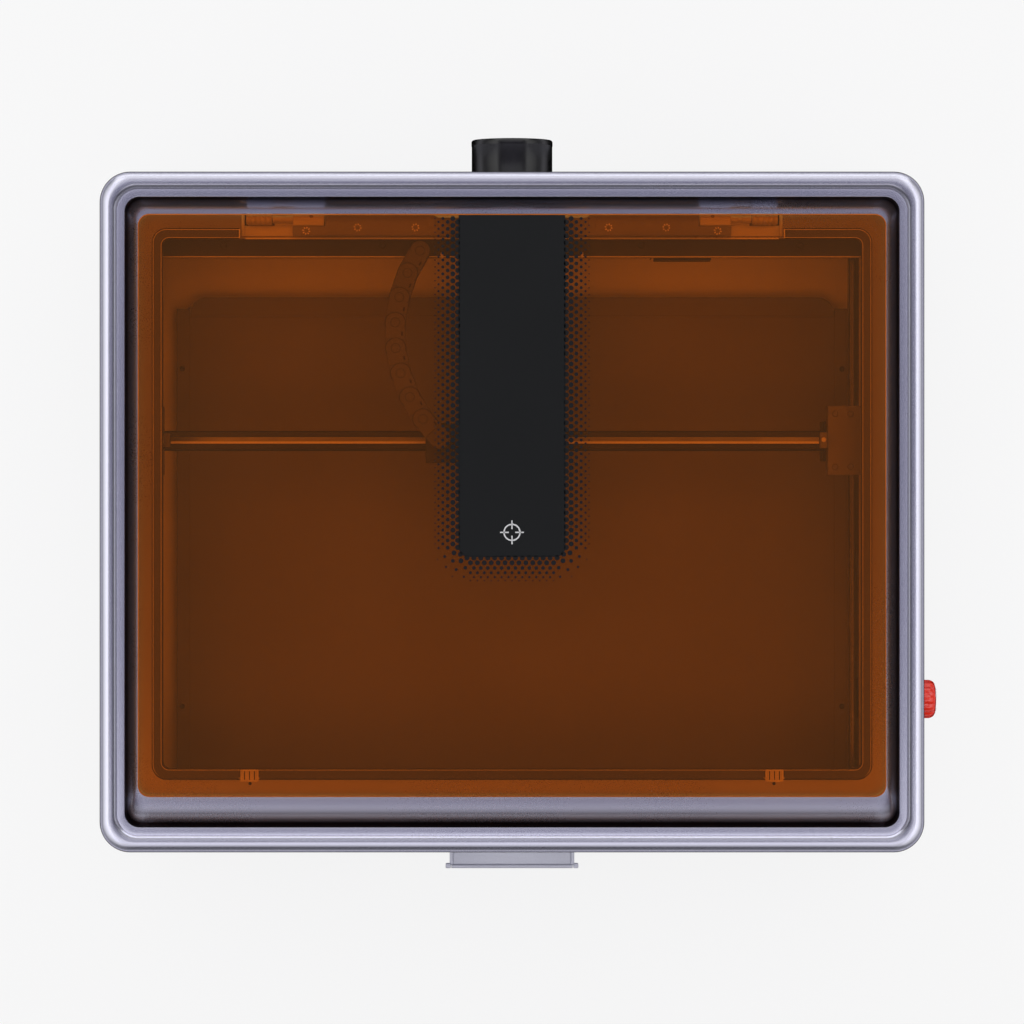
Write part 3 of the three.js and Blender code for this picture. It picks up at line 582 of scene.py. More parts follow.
def make_bezel():
    top = RIM_HI.z
    bead_base = top - BEAD_HEIGHT
    outer, inner = 7.3, 5.5
    rings = [even_ring(0.5, RIM_LO.z, RIM_CORNER), even_ring(0, RIM_LO.z + 0.6, RIM_CORNER)]
    for i in range(25):
        t = radians(153 * i / 24)
        inset = outer - (outer if t < pi / 2 else inner) * cos(t)
        corner = between(RIM_CORNER, BEAD_CORNER, inset / BEAD_WIDTH)
        rings.append(even_ring(inset, bead_base + BEAD_HEIGHT * sin(t), corner))
    lip = top - LIP_DROP
    bead_rings = len(rings)
    rings.append(even_ring(BEAD_WIDTH + 0.35, lip + 0.02, BEAD_CORNER - 0.4))
    rings.append(even_ring(LIP_END - 0.6, lip, LIP_CORNER + 0.5))
    rings.append(even_ring(LIP_END - 0.15, lip - 0.15, LIP_CORNER + 0.15))
    lip_end = len(rings)

    def fall(degrees, outward, down):
        t = radians(degrees)
        reach = {k: LIP_END - outward + (end - LIP_END) * (1 - cos(t)) for k, end in RECESS_END.items()}
        z = lip - down - (lip - LEDGE_Z) * sin(t)
        return bezel_ring(reach["side"], reach["rear"], reach["front"], z,
                          between(LIP_CORNER, FLOOR_CORNER, 1 - cos(t)))

    rings += [fall(a, 0, 0) for a in FALL_STEPS]

    def window(z, outward, corner):
        return bezel_ring(RIM_HI.x - WINDOW["x"] - outward, RIM_HI.y - WINDOW["rear"] - outward,
                          WINDOW["front"] - RIM_LO.y - outward, z, corner)

    rings += [window(LEDGE_Z, 0.5, 5.5), window(LEDGE_Z - 0.5, 0, 5), window(LEDGE_Z - 6.2, 0, 5)]
    rings += [window(LEDGE_Z - 6.2, 1.5, 6.5), window(LEDGE_Z - 3, 1.5, 6.5)]
    rings += [fall(a, 2.7, 3) for a in (90, 67, 45, 22, 0)]
    rings += [even_ring(2.6, lip - 3, 18.4), even_ring(2.6, RIM_LO.z, 18.4)]
    # The cove takes the third finish, the recess one with its painted shade.
    rim = Solid().loft(rings, closed=True, second=range(bead_rings - 6, len(rings) - 8),
                       third=range(lip_end, lip_end + len(FALL_STEPS)))
    pocket = Solid().block((-187, 189.9, 240), (187, 205.8, 252), 0)
    add_piece("bezel", rim, "chassis", ["silver", "lavender", "recess"], "top_bezel", 30, [pocket])
    tray = Solid().block((-186.8, 190.2, 247.2), (186.8, 197.6, 248.4), 0.2)
    tray.block((-163.9, 197.6, 247.2), (163.9, 205.5, 248.4), 0.2)
    for sign in (-1, 1):
        tray.block(*mirrored(sign, (184.4, 190.2, 247.2), (186.8, 205.5, 249.8)), 0.2)
    add_piece("hinge_tray", tray, "chassis", "panel")
    # Pale strip along the front edge of the hinge pocket: a painted highlight line.
    edge = Solid()
    leaning_strip(edge, -184, 184, 188.2, 189.85, LEDGE_Z - 0.4, LEDGE_Z + 0.45)
    add_piece("pocket_edge", edge, "chassis", "pale")


def side_outline(sign, thick=2.0, steps=10):
    """Plan of a side wall that wraps round its two corners."""
    x, y, corner, wrap = SIDE_X, WALL_Y, 18.0, 252.0
    outer = [(wrap, -y)] + arc_points(x - corner, corner - y, corner, -90, 0, steps)
    outer += arc_points(x - corner, y - corner, corner, 0, 90, steps) + [(wrap, y)]
    inner = [(wrap, y - thick)] + arc_points(x - corner, y - corner, corner - thick, 90, 0, steps)
    inner += arc_points(x - corner, corner - y, corner - thick, 0, -90, steps) + [(wrap, thick - y)]
    outline = outer + inner
    return outline if sign > 0 else [(-px, -py) for px, py in outline]


def slot_cutter(solid, across, centre, length, width, depth):
    """Round-ended slot standing upright at `across` along Y, its middle at height `centre`, cut along X."""
    half = length / 2 - width / 2
    outline = [(u, half + v) for u, v in arc_points(0, 0, width / 2, 0, 180, 8)]
    outline += [(-u, -half - v) for u, v in arc_points(0, 0, width / 2, 0, 180, 8)]
    turn = Matrix.Translation((0, across, centre)) @ Matrix.Rotation(pi / 2, 4, "Z")
    solid.prism(outline, *depth, turn=turn @ Matrix.Rotation(pi / 2, 4, "X"))


def make_shells():
    lo, hi = node_mm("left_shell")
    _, stop_y, stop_z = middle_of("estop_plunger")
    for name, sign in SIDES.items():
        wall = Solid().prism(side_outline(sign), lo.z, hi.z, 0)
        holes = Solid()
        if sign > 0:
            holes.lathe([(8.2, 270), (8.2, 290)], "x", (0, stop_y, stop_z), 48)
        for i in range(16):
            slot_cutter(holes, 42 + 9 * i, 51, 32, 4, sorted((sign * 270, sign * 290)))
        add_piece(f"case_side_{name}", wall, "chassis", "panel", f"{name}_shell", 30, [holes])
        add_screws(f"side_screws_{name}", "chassis", "anodised",
                   [(sign * SIDE_X, y, z) for y, z in product((-206, 206), (40, 228))],
                   "x" if sign > 0 else "-x", 3.4, 1.7)


def make_ends():
    """Front and rear panels, with the openings of the CAD panels, plus their screws and vents."""
    for node in ("front_panel", "rear_panel"):
        dress(node, "panel", 0.3)
    screws = Solid()
    for x, z in product((-244, 244), (36, 236)):
        screws.screw((x, -WALL_Y, z), "-y", 3.2, 1.6)
        screws.screw((x, WALL_Y, z), "y", 3.2, 1.6)
    for x, z in product((-24, 24), (154, 202)):
        screws.screw((x, 234, z), "y", 2.6, 1.4)
    add_piece("panel_screws", screws, "chassis", "anodised")
    louvres = Solid()
    for i in range(9):
        z = 52 + 9 * i
        outline = [(231.15, z - 2.4), (233.3, z - 2.2), (233.3, z - 1.0), (231.15, z + 2.6)]
        rings = [[(x, y, h) for y, h in outline] for x in (60, 62, 158, 160)]
        for ring in (rings[0], rings[-1]):
            middle = Vector((ring[0][0], 231.15, z))
            ring[:] = [tuple(middle.lerp(Vector(point), 0.35)) for point in ring]
        louvres.loft(rings)
        louvres.block((62, 230.9, z - 4.4), (158, 231.25, z - 2.5), 0, mark=1)
    add_piece("rear_louvres", louvres, "chassis", ["panel", "plastic"])


# ------------------------------------------------------------------ lid

def make_lid():
    corner, edge = 8, 0.8
    z0, z1 = LID_LO.z, LID_HI.z

    def ring(inset, z):
        outline = rounded_rect((LID_LO.x + inset, LID_LO.y + inset), (LID_HI.x - inset, LID_HI.y - inset),
                               corner - inset, 10)
        return [(x, y, z) for x, y in outline]

    sheet = Solid()
    # The edge faces take the second finish, the painted edge glow.
    sheet.loft([ring(edge, z0), ring(0, z0 + edge), ring(0, z1 - edge), ring(edge, z1)], 1, caps=False)
    count = len(ring(0, z0))
    sheet.add(ring(edge, z0), [tuple(reversed(range(count)))])
    sheet.add(ring(edge, z1), [tuple(range(count))])
    mesh = sheet.mesh("lid_sheet")
    obj = link("lid_sheet", mesh)
    joined = bmesh.new()
    joined.from_mesh(mesh)
    bmesh.ops.remove_doubles(joined, verts=joined.verts, dist=0.000001)
    bmesh.ops.recalc_face_normals(joined, faces=joined.faces)
    joined.to_mesh(mesh)
    joined.free()
    for key in ("amber", "amber_edge_painted_glow"):
        mesh.materials.append(FINISHES[key])
    smooth(mesh, 30)
    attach(obj, "lid")
    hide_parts("lid_panel")


STRIPE_HALF, STRIPE_CORNER, STRIPE_THICK = 36.75, 6.9, 0.12
STRIPE_FRONT, STRIPE_REAR = -31.0, LID_HI.y - 0.9
DOT_PITCH = 4.77
DOT_ROWS = [(0.6, 1.75), (3.9, 1.7), (7.5, 1.3), (10.8, 1.05), (13.8, 0.8), (16.2, 0.5)]  # distance out, radius


def stripe_path(offset):
    """A function from length along the stripe's edge to a point that far outside it, and the whole length."""
    half, front, rear, corner = STRIPE_HALF, STRIPE_FRONT, STRIPE_REAR, STRIPE_CORNER
    straight = rear - (front + corner)
    bottom = 2 * (half - corner)
    turn = pi / 2 * corner

    def bend(x, a):
        return x + (corner + offset) * cos(a), front + corner + (corner + offset) * sin(a)

    def at(s):
        if s < straight:
            return (-half - offset, rear - s)
        s -= straight
        if s < turn:
            return bend(-half + corner, pi + s / corner)
        s -= turn
        if s < bottom:
            return (-half + corner + s, front - offset)
        s -= bottom
        if s < turn:
            return bend(half - corner, 1.5 * pi + s / corner)
        s -= turn
        return (half + offset, front + corner + s)

    return at, 2 * straight + bottom + 2 * turn


def make_stripe():
    """Printed band on the lid, with rows of dots that shrink away from its edge, and a round mark."""
    z0 = LID_HI.z + 0.02
    z1 = z0 + STRIPE_THICK
    band = Solid()
    band.prism(rounded_rect((-STRIPE_HALF, STRIPE_FRONT), (STRIPE_HALF, STRIPE_REAR),
                            (STRIPE_CORNER, 0, 0, STRIPE_CORNER), 12), z0, z1)
    for row, (offset, radius) in enumerate(DOT_ROWS):
        at, length = stripe_path(offset)
        count = round(length / DOT_PITCH)
        for i in range(count + 1):
            s = (i + (0.5 if row % 2 else 0.0)) * length / count
            x, y = at(s)
            if s <= length and y + radius <= STRIPE_REAR:
                band.loft([[(x + u, y + v, z) for u, v in circle(radius, 16)] for z in (z0, z1)])
    add_piece("lid_stripe", band, "lid", "print")

    mark = Solid()
    cy, z2 = STRIPE_FRONT + 17.0, z1 + 0.1
    section = ((6.0, z1), (6.0, z2), (5.0, z2), (5.0, z1))
    mark.loft([[(u, cy + v, z) for u, v in circle(r, 48)] for r, z in section], closed=True)
    for k in range(4):
        turn = Matrix.Translation((0, cy, 0)) @ Matrix.Rotation(k * pi / 2, 4, "Z")
        mark.block((2.2, -0.45, z1), (8.2, 0.45, z2), 0, turn=turn)
    add_piece("lid_mark", mark, "lid", "white")


SEAL_LINES = ((0.1, 4.8, 0), (0.75, 5.4, 1), (6.25, 9.0, 1), (6.9, 9.6, 0))  # out from the window, corner, slot; slot 0 is a dark rubber bead, slot 1 a pale bead that is a painted highlight line
SEAL_END = 187.6
MAGNETS = ((-180.7, -181.4), (180.7, -181.4))


def make_seal():
    """Soft bulb seal with a dark rubber bead right at each edge and a pale painted highlight line just inside it,
    and the magnets set in it.
    """
    dress("lid_gasket", "seal", 1.2)
    z = node_mm("lid_gasket")[1].z - 0.25
    x, front, rear = WINDOW["x"], WINDOW["front"], WINDOW["rear"]
    seams = Solid()
    for out, corner, mark in SEAL_LINES:
        right, low, high = x + out - corner, front - out + corner, rear + out - corner
        path = [(-SEAL_END, high + corner)]
        for cx, cy, start in ((-right, high, 90), (-right, low, 180), (right, low, 270), (right, high, 0)):
            path += arc_points(cx, cy, corner, start, start + 90, 8)
        path.append((SEAL_END, high + corner))
        seams.tube([(px, py, z) for px, py in path], 0.22 if mark else 0.3, 8, mark=mark)
    # Pale blocks closing the rear ends of the seal: painted highlights.
    for sign in (-1, 1):
        end = sign * SEAL_END
        seams.block((end - 0.4, rear + 0.3, z - 0.3), (end + 0.4, rear + 6.6, z + 0.25), 0.1, mark=1)
    add_piece("seal_seams", seams, "chassis", ["rubber", "pale"])
    magnets, strikes = Solid(), Solid()
    for cx, cy in MAGNETS:
        magnets.block((cx - 6, cy - 4, 251), (cx + 6, cy + 4.1, 255.2), 0.5)
        magnets.block((cx - 2.2, cy - 4.1, 254.9), (cx + 2.2, cy - 1.4, 255.5), 0.15)
        strikes.block((cx - 5.6, cy - 3.6, 256.3), (cx + 5.6, cy + 3.6, 257.85), 0.35)
        for offset in (-3.4, 0, 3.4):
            strikes.block((cx + offset - 0.35, cy - 3, 257.4), (cx + offset + 0.35, cy + 3, 257.95), 0.1, mark=1)
        # Pale frame round each strike plate: painted highlight along its edges.
        for x0, y0, x1, y1 in ((-6.2, -4.1, 6.2, -3.5), (-6.2, 3.5, 6.2, 4.1), (-6.2, -4.1, -5.6, 4.1),
                               (5.6, -4.1, 6.2, 4.1)):
            strikes.block((cx + x0, cy + y0, 256.9), (cx + x1, cy + y1, 257.95), 0.1, mark=2)
    add_piece("lid_magnets", magnets, "chassis", "steel")
    add_piece("lid_strikes", strikes, "lid", ["panel", "dark", "pale"])
    add_screws("magnet_screws", "chassis", "anodised", [(cx, cy - 5.9, 250.3) for cx, cy in MAGNETS],
               "z", 1.1, 0.8)


def leaning_strip(solid, x0, x1, y0, y1, bottom, top, tilt=26, mark=0):
    """Edge strip whose narrow top leans to the rear; every caller gives it the pale finish, so it is a painted
    highlight line.
    """
    rise = (y1 - y0) * tan(radians(tilt))
    outline = [(y0, bottom), (y1, bottom), (y1, top - rise), (y0, top)]
    solid.loft([[(x, y, z) for y, z in outline] for x in (x0, x1)], mark)


def tooth_washer(solid, x, y, bottom):
    """Star washer with eight teeth."""
    outline = []
    for i in range(16):
        for share in (0.2, 0.8):
            angle = tau * (i + share) / 16
            radius = 2.8 if i % 2 else 1.5
            outline.append((x + radius * cos(angle), y + radius * sin(angle)))
    solid.prism(outline, bottom, bottom + 0.35)


def make_hinges():
    bar_lo, bar_hi = node_mm("lid_hinge_bar")
    bar = Solid()
    outline = [(bar_lo.x, bar_lo.y), (bar_hi.x, bar_lo.y), (bar_hi.x, 196.8), (128.5, 196.8), (128.5, bar_hi.y)]
    outline += [(54, bar_hi.y), (51, 202.6), (-51, 202.6), (-54, bar_hi.y)]
    outline += [(-128.5, bar_hi.y), (-128.5, 196.8), (bar_lo.x, 196.8)]
    bar.prism(outline, bar_lo.z, bar_hi.z - 0.4, 0.4)
    for sign in (-1, 1):
        bar.block((sign * 55 - 2.5, 196, 257), (sign * 55 + 2.5, 203, 257.7), 0.2)
    add_piece("hinge_bar", bar, "lid", "hinge", "lid_hinge_bar")

    # The star washers are real, but their pale finish, bright under any light, is partly painted highlight; the pale
    # strip behind the stripe's rear end is a painted highlight line.
    screws = Solid()
    for x, y in ((-141.6, 193.6), (-106.3, 195.9), (-66.5, 195.9), (66.5, 195.9), (106.3, 195.9), (141.6, 193.6)):
        tooth_washer(screws, x, y, bar_hi.z - 0.4)
        screws.screw((x, y, bar_hi.z - 0.15), "z", 1.6, 0.35, "star", 1)
    for sign in (-1, 1):
        screws.screw((sign * 138.2, 203.6, 257.2), "z", 1.3, 0.5, "hex", 1)
    leaning_strip(screws, -15, 15, 204.3, 205.0, 257.0, 257.85)
    add_piece("hinge_screws", screws, "lid", ["pale", "hinge"])

    axis = (0, HINGE_Y, HINGE_Z)
    for name, sign in SIDES.items():
        barrel = Solid()
        profile = [(2.95, 165.3), (3.9, 165.3)]
        for i in range(5):
            x = 165.9 + 3.42 * i
            profile += [(4.0, x), (4.4, x + 0.6), (4.4, x + 2.3), (4.0, x + 2.9)]
        profile += [(3.9, 183.0), (2.95, 183.0)]
        barrel.lathe([(r, sign * x) for r, x in profile], "x", axis, 48, closed=True)
        barrel.block(*mirrored(sign, (165.3, 198.6, 228.3), (183, 205.4, 250)), 0.6)
        barrel.block(*mirrored(sign, (166.3, 197.8, 228.3), (182, 206.2, 231)), 0.6)
        add_piece(f"barrel_{name}", barrel, "chassis", "panel", f"hinge_barrel_{name}")
        leaf = Solid()
        x0, x1 = sorted((sign * 129.0, sign * 151.0))
        leaf.lathe([(3.6, x0), (4.3, x0 + 0.7), (4.3, x1 - 0.7), (3.6, x1)], "x", axis, 40)
        leaf.block((x0 + 0.8, 190.5, 252.8), (x1 - 0.8, 202, 254.9), 0.3)
        leaf.block((x0 + 0.4, 197.4, 255.6), (x1 - 0.4, 204.8, 257.3), 0.4)
        x0, x1 = sorted((sign * 150.0, sign * 164.8))
        leaf.lathe([(3.2, x0), (3.2, x0 + 6), (2.9, x0 + 6.4), (2.9, x1 - 6.4), (3.2, x1 - 6), (3.2, x1)], "x",
                   axis, 40)
        leaf.lathe([(2.6, x) for x in sorted((sign * 164.0, sign * 182.7))], "x", axis, 32, mark=1)
        add_piece(f"hinge_leaf_{name}", leaf, "lid", ["panel", "steel"], f"lid_hinge_{name}")


def make_spigot():
    x, _, z = middle_of("exhaust_spigot")
    flange, back, end = 34.0, *(corner.y for corner in node_mm("exhaust_spigot"))
    profile = [(26.0, back), (flange - 0.6, back), (flange, back + 0.6), (flange, back + 2.2)]
    profile += [(flange - 0.8, back + 3.0), (30.2, back + 3.0), (28.7, back + 4.2), (28.3, back + 5.5)]
    profile += [(28.3, end - 4.6), (28.5, end - 4.2), (28.5, end - 1.4), (28.1, end - 0.4), (27.4, end)]
    profile += [(26.6, end), (26.0, end - 0.6)]
    tube = Solid().lathe(profile, "y", (x, 0, z), 128, closed=True)
    add_piece("spigot", tube, "chassis", "gloss_black", "exhaust_spigot")
    grille = Solid()
    for radius in (8, 15, 22):
        grille.tube([(x + u, 229.6, z + v) for u, v in circle(radius, 64)], 0.6, 8, closed=True)
    for k in range(6):
        a = radians(60 * k + 30)
        grille.tube([(x + r * cos(a), 229.6, z + r * sin(a)) for r in (3, 24.4)], 0.7, 8)
    grille.lathe([(4.2, 228.9), (4.2, 230.4)], "y", (x, 0, z), 40)
    add_piece("fan_grille", grille, "chassis", "anodised")


def fluted(x, y, z, reach, depth, flutes, steps, power=1):
    """Ring round the X axis through y, z, with rounded flutes of the given depth."""
    ring = []
    for i in range(steps):
        a = tau * i / steps
        r = reach - depth * (0.5 - 0.5 * cos(flutes * a)) ** power
        ring.append((x, y + r * cos(a), z + r * sin(a)))
    return ring


def make_stop():
    lo, hi = node_mm("estop_cap")
    _, y, z = middle_of("estop_cap")
    radius, end, back = (hi.y - lo.y) / 2, hi.x, lo.x
    section = [(11.7, back + 4.4, 0), (11.7, back + 0.3, 0), (12.2, back, 0), (radius - 0.6, back, 0)]
    section += [(radius - 0.15, back + 0.5, 0.5), (radius, back + 1.2, 0.9), (radius, end - 5.4, 0.9)]
    section += [(radius - 0.25, end - 4.2, 0.8), (radius - 0.8, end - 2.9, 0.5), (12.0, end - 2.0, 0.15)]
    section += [(11.0, end - 1.3, 0), (9.4, end - 0.8, 0), (6.5, end - 0.35, 0), (3.2, end - 0.08, 0)]
    section.append((0.4, end, 0))
    cap = Solid().loft([fluted(x, y, z, reach, depth, 12, 144, 2) for reach, x, depth in section])

    def spot(x, reach, a):
        return x, y + reach * cos(a), z + reach * sin(a)

    for k in range(3):
        start, sweep = radians(120 * k + 20), radians(60)
        path = [spot(end - 0.62, 8.2, start + radians(60 * i / 8)) for i in range(9)]
        cap.tube(path, 0.42, 8, mark=1)
        for x, reach in ((end - 0.8, 8.2 + 1.9), (end - 0.45, 8.2 - 1.9)):
            cap.tube([path[-1], spot(x, reach, start + sweep - 0.22)], 0.38, 8, mark=1)
    add_piece("stop_button", cap, "stop_cap", ["red", "white"], "estop_cap", 40)

    lo, hi = node_mm("estop_body")
    body = Solid().block(lo, (278.1, hi.y, hi.z), 0.8, mark=1)
    body.lathe([(5.6, hi.x), (9.6, hi.x), (10.6, hi.x - 0.5), (11, hi.x - 1.2), (11, 280.8), (7.6, 280.8),
                (7.6, 278.15), (5.6, 278.15)], "x", (0, y, z), 72, closed=True)
    bore = Solid().lathe([(5.4, lo.x + 1.1), (5.4, 290)], "x", (0, y, z), 48)
    add_piece("stop_collar", body, "chassis", ["yellow", "plastic"], "estop_body", holes=[bore])
    lo, hi = node_mm("estop_plunger")
    shaft = Solid().lathe([(4.5, lo.x), (4.9, lo.x + 0.4), (4.9, hi.x - 0.4), (4.5, hi.x)], "x", (0, y, z), 48)
    add_piece("stop_shaft", shaft, "stop_plunger", "red", "estop_plunger")


def make_start():
    x, _, z = middle_of("start_ring")
    face, wall = node_mm("start_ring")[0].y, -231.3
    profile = [(7.2, face + 0.4), (7.5, face), (8.3, face), (8.5, face + 0.5), (9.3, face + 0.5), (9.5, face)]
    profile += [(10.5, face), (11.0, face + 0.5), (11.0, wall), (8.6, wall), (8.6, -222.0), (7.2, -222.0)]
    ring = Solid().lathe(profile, "y", (x, 0, z), 72, closed=True)
    ring.lathe([(8.45, face + 0.15), (9.35, face + 0.15), (9.35, face + 0.9), (8.45, face + 0.9)], "y", (x, 0, z),
               72, mark=1, closed=True)
    add_piece("start_bezel", ring, "chassis", ["steel", "lamp"], "start_ring")
    lo, hi = node_mm("start_button")
    profile = [(6.4, hi.y), (6.9, hi.y - 0.4), (6.9, lo.y + 0.7), (6.3, lo.y + 0.1), (5.9, lo.y), (4.6, lo.y + 0.35)]
    profile += [(2.4, lo.y + 0.6), (0.2, lo.y + 0.7)]
    add_piece("start_key_face", Solid().lathe(profile, "y", (x, 0, z), 64), "start_key", "plastic", "start_button")


def make_pull():
    """Pull of the bed drawer: a shelf between two cheeks, with a rolled lip that ends in two nubs."""
    lo = node_mm("drawer_pull")[0]
    back = lo.y + 23.7
    shelf = Solid()
    shelf.block((-43.8, -252.6, 102.6), (43.8, back, 104.2), 0.2)
    shelf.block((-41.7, -252.0, 103.0), (41.7, back, 105.5), 0.3)
    rings = []
    for x, grow in ((-43.4, 0.72), (-43.2, 1.0), (43.2, 1.0), (43.4, 0.72)):
        outline = rounded_rect((-1.3 * grow, -4.6 * grow), (1.3 * grow, 3.2 * grow), 1.1 * grow, 5)
        rings.append([(x, -253.65 + u, 103.4 + v) for u, v in outline])
    shelf.loft(rings)
    for sign in (-1, 1):
        shelf.block(*mirrored(sign, (42.2, -252.8, lo.z), (44.6, back, 105.3)), 0.5)
        shelf.block(*mirrored(sign, (43.0, -240, lo.z), (44.6, -231.3, lo.z + 9)), 0.4)
        shelf.prism(rounded_rect(*mirrored(sign, (43.8, -254.9), (47.5, -251.6)), 0.9, 5), 98.2, 107.4, 0.5)
    shelf.block((-40, -232.6, 97), (40, -231.3, 103), 0.3)
    add_piece("pull", shelf, "drawer", "panel", "drawer_pull")
    dress("drawer_front", "panel", 0.4)
    add_screws("drawer_screws", "drawer", "anodised", [(x, -WALL_Y, z) for x, z in product((-228, 228), (52, 100))],
               "-y", 2.4, 1.2)


def make_power():
    dress("power_inlet", "plastic", 0.15)
    dress("power_rocker", "plastic", 0.3)
    pins = Solid()
    for x, z in ((-203.5, 56), (-194.5, 56), (-199, 60.5)):
        pins.block((x - 0.9, 218.0, z - 2.2), (x + 0.9, 230.5, z + 2.2))
    add_piece("inlet_pins", pins, "chassis", "brass")
    add_screws("inlet_screws", "chassis", "anodised", [(x, 232.4, 67.2) for x in (-213.6, -168.4)], "y", 1.6, 0.8)
    dress("power_supply", "tin", 0.8)
    vents = Solid()
    for x, y in product((-238 + 9.5 * i for i in range(9)), (80 + 22 * i for i in range(5))):
        vents.prism(rounded_rect((x - 2.6, y - 7), (x + 2.6, y + 7), 2.5, 4), 54.9, 55.5)
    add_piece("power_vents", vents, "chassis", "anodised")
    dress("control_board", "board", 0.3)
    chips = Solid()
    for x, y, w, d, h in ((80, 100, 14, 14, 4), (110, 100, 10, 10, 3), (150, 95, 16, 9, 6), (95, 150, 18, 12, 8),
                          (140, 150, 12, 20, 5), (165, 125, 8, 26, 9)):
        chips.block((x - w / 2, y - d / 2, 18), (x + w / 2, y + d / 2, 22 + h), 0.5)
    add_piece("board_chips", chips, "chassis", "plastic")


def make_bed():
    dress("work_bed", "bed", 0.5)
    for name, sign in SIDES.items():
        dress(f"bed_rail_{name}", "bed", 0.4)
        screws = Solid()
        x = sign * 236.6
        for y in (-139.3, 102.6):
            screws.lathe([(1.7, 97.5), (3.4, 97.5), (3.4, 97.9), (3.1, 98.1), (1.7, 98.1)], "z", (x, y, 0), 40,
                         closed=True)
            screws.screw((x, y, 97.6), "z", 2.0, 1.1, "star", 1)
        add_piece(f"rail_screws_{name}", screws, "chassis", ["bed", "dark"])
    crease = Solid()
    crease.block((BED_LO.x + 6, 139.6, 94.7), (BED_HI.x - 6, 141.0, 95.4), 0.25)
    crease.lathe([(0.9, 95.0), (0.9, 95.9), (0.5, 96.3)], "z", (-231.5, 146, 0), 24, mark=1)
    add_piece("bed_crease", crease, "drawer", ["bed", "steel"])


def make_shelf():
    dress("rear_shelf", "dark", 0.4)
    dress("deck_plate", "inside", 0.4)
    front = SHELF_LO.y
    # The pale strip leaning along the shelf's front edge is a painted highlight line.
    trim = Solid()
    leaning_strip(trim, -246, 246, front - 0.35, front + 0.45, 226.8, 228.3, 14)
    for x in (-48.6, 48.6):
        trim.block((x - 0.9, front - 0.6, 221), (x + 0.9, front + 3.2, 228.6), 0.25)
    add_piece("shelf_trim", trim, "chassis", "pale")
    add_screws("shelf_screws", "chassis", "dark", [(x, front + 8, SHELF_HI.z) for x in (-200, -90, 90, 200)],
               "z", 2.4, 1.3)


BLOCK_ENDS = ((-228.6, -218), (218, 228.6))  # along Y, of the blocks that hold the rods


def make_gantry():
    dress("gantry_beam", "dark", 0.5)
    lo, hi = node_mm("x_guide_rail")
    rail = Solid()
    rail.block((lo.x, lo.y + 1.4, lo.z), (hi.x, hi.y, hi.z - 0.3), 0.3)
    # Pale strip along the rail's front top edge: a painted highlight line.
    leaning_strip(rail, lo.x, hi.x, lo.y - 0.1, lo.y + 1.5, lo.z + 1.2, hi.z + 0.1, 20, mark=1)
    add_piece("guide_rail", rail, "gantry", ["tin", "pale"], "x_guide_rail")
    for name, columns in (("left", (-259.4, -247.6)), ("right", (225.6, 236.4))):
        node = f"y_carriage_{name}"
        dress(node, "hinge", 0.7)
        top = node_mm(node)[1].z
        add_screws(f"carriage_screws_{name}", "gantry", "hinge",
                   [(x, y, top) for x, y in product(columns, (31.5, 68.5))], "z", 2.2, 1.4)
        lo, hi = node_mm(f"y_rod_{name}")
        x, _, z = middle_of(f"y_rod_{name}")
        rod = Solid().lathe([(3.4, lo.y), (4, lo.y + 0.6), (4, hi.y - 0.6), (3.4, hi.y)], "y", (x, 0, z), 48)
        add_piece(f"rod_{name}", rod, "chassis", "rod", f"y_rod_{name}")
        clamps = Solid()
        for y0, y1 in BLOCK_ENDS:
            clamps.block((x - 7.5, y0, z - 7.5), (x + 7.5, y1, z + 7.5), 1.2)
        bore = Solid().lathe([(4.05, -230), (4.05, 230)], "y", (x, 0, z), 48)
        add_piece(f"rod_clamps_{name}", clamps, "chassis", "anodised", holes=[bore])
    clamps = Solid()
    clamps.block((214.6, 44.5, 204.4), (220.0, 55.5, 210.5), 0.6)
    # The pale head of the clamp screw is a painted glint.
    clamps.screw((217.3, 50.4, 210.5), "z", 1.7, 1.1, mark=1)
    clamps.block((-243.0, 45.2, 204.4), (-238.4, 54.8, 209.6), 0.6)
    add_piece("rail_clamps", clamps, "gantry", ["hinge", "pale"])


def pulley(name, node, body, axis):
    """Flanged belt pulley with teeth, turned about the middle of its node."""
    index = "xyz".index(axis)
    first, last = (corner[index] for corner in node_mm(node))
    middle, half = (first + last) / 2, (last - first) / 2
    inner, bore = half - 0.95, 2.95
    centre = Vector(middle_of(node))
    centre[index] = 0
    wheel = Solid()
    for side in (-1, 1):
        a, b = sorted((middle + side * inner, middle + side * half))
        wheel.lathe([(bore, a), (7.6, a), (8.0, a + 0.25), (8.0, b - 0.25), (7.6, b), (bore, b)], axis, centre, 48,
                    closed=True)
    rings = []
    for along in (middle - inner, middle + inner):
        ring = []
        for i in range(80):
            a = tau * i / 80
            r = 5.35 if i % 4 < 2 else 4.8
            ring.append(about(axis, along, r * cos(a), r * sin(a)) + centre)
        rings.append(ring)
    wheel.loft(rings, 1)
    add_piece(name, wheel, body, ["steel", "graphite"], node)


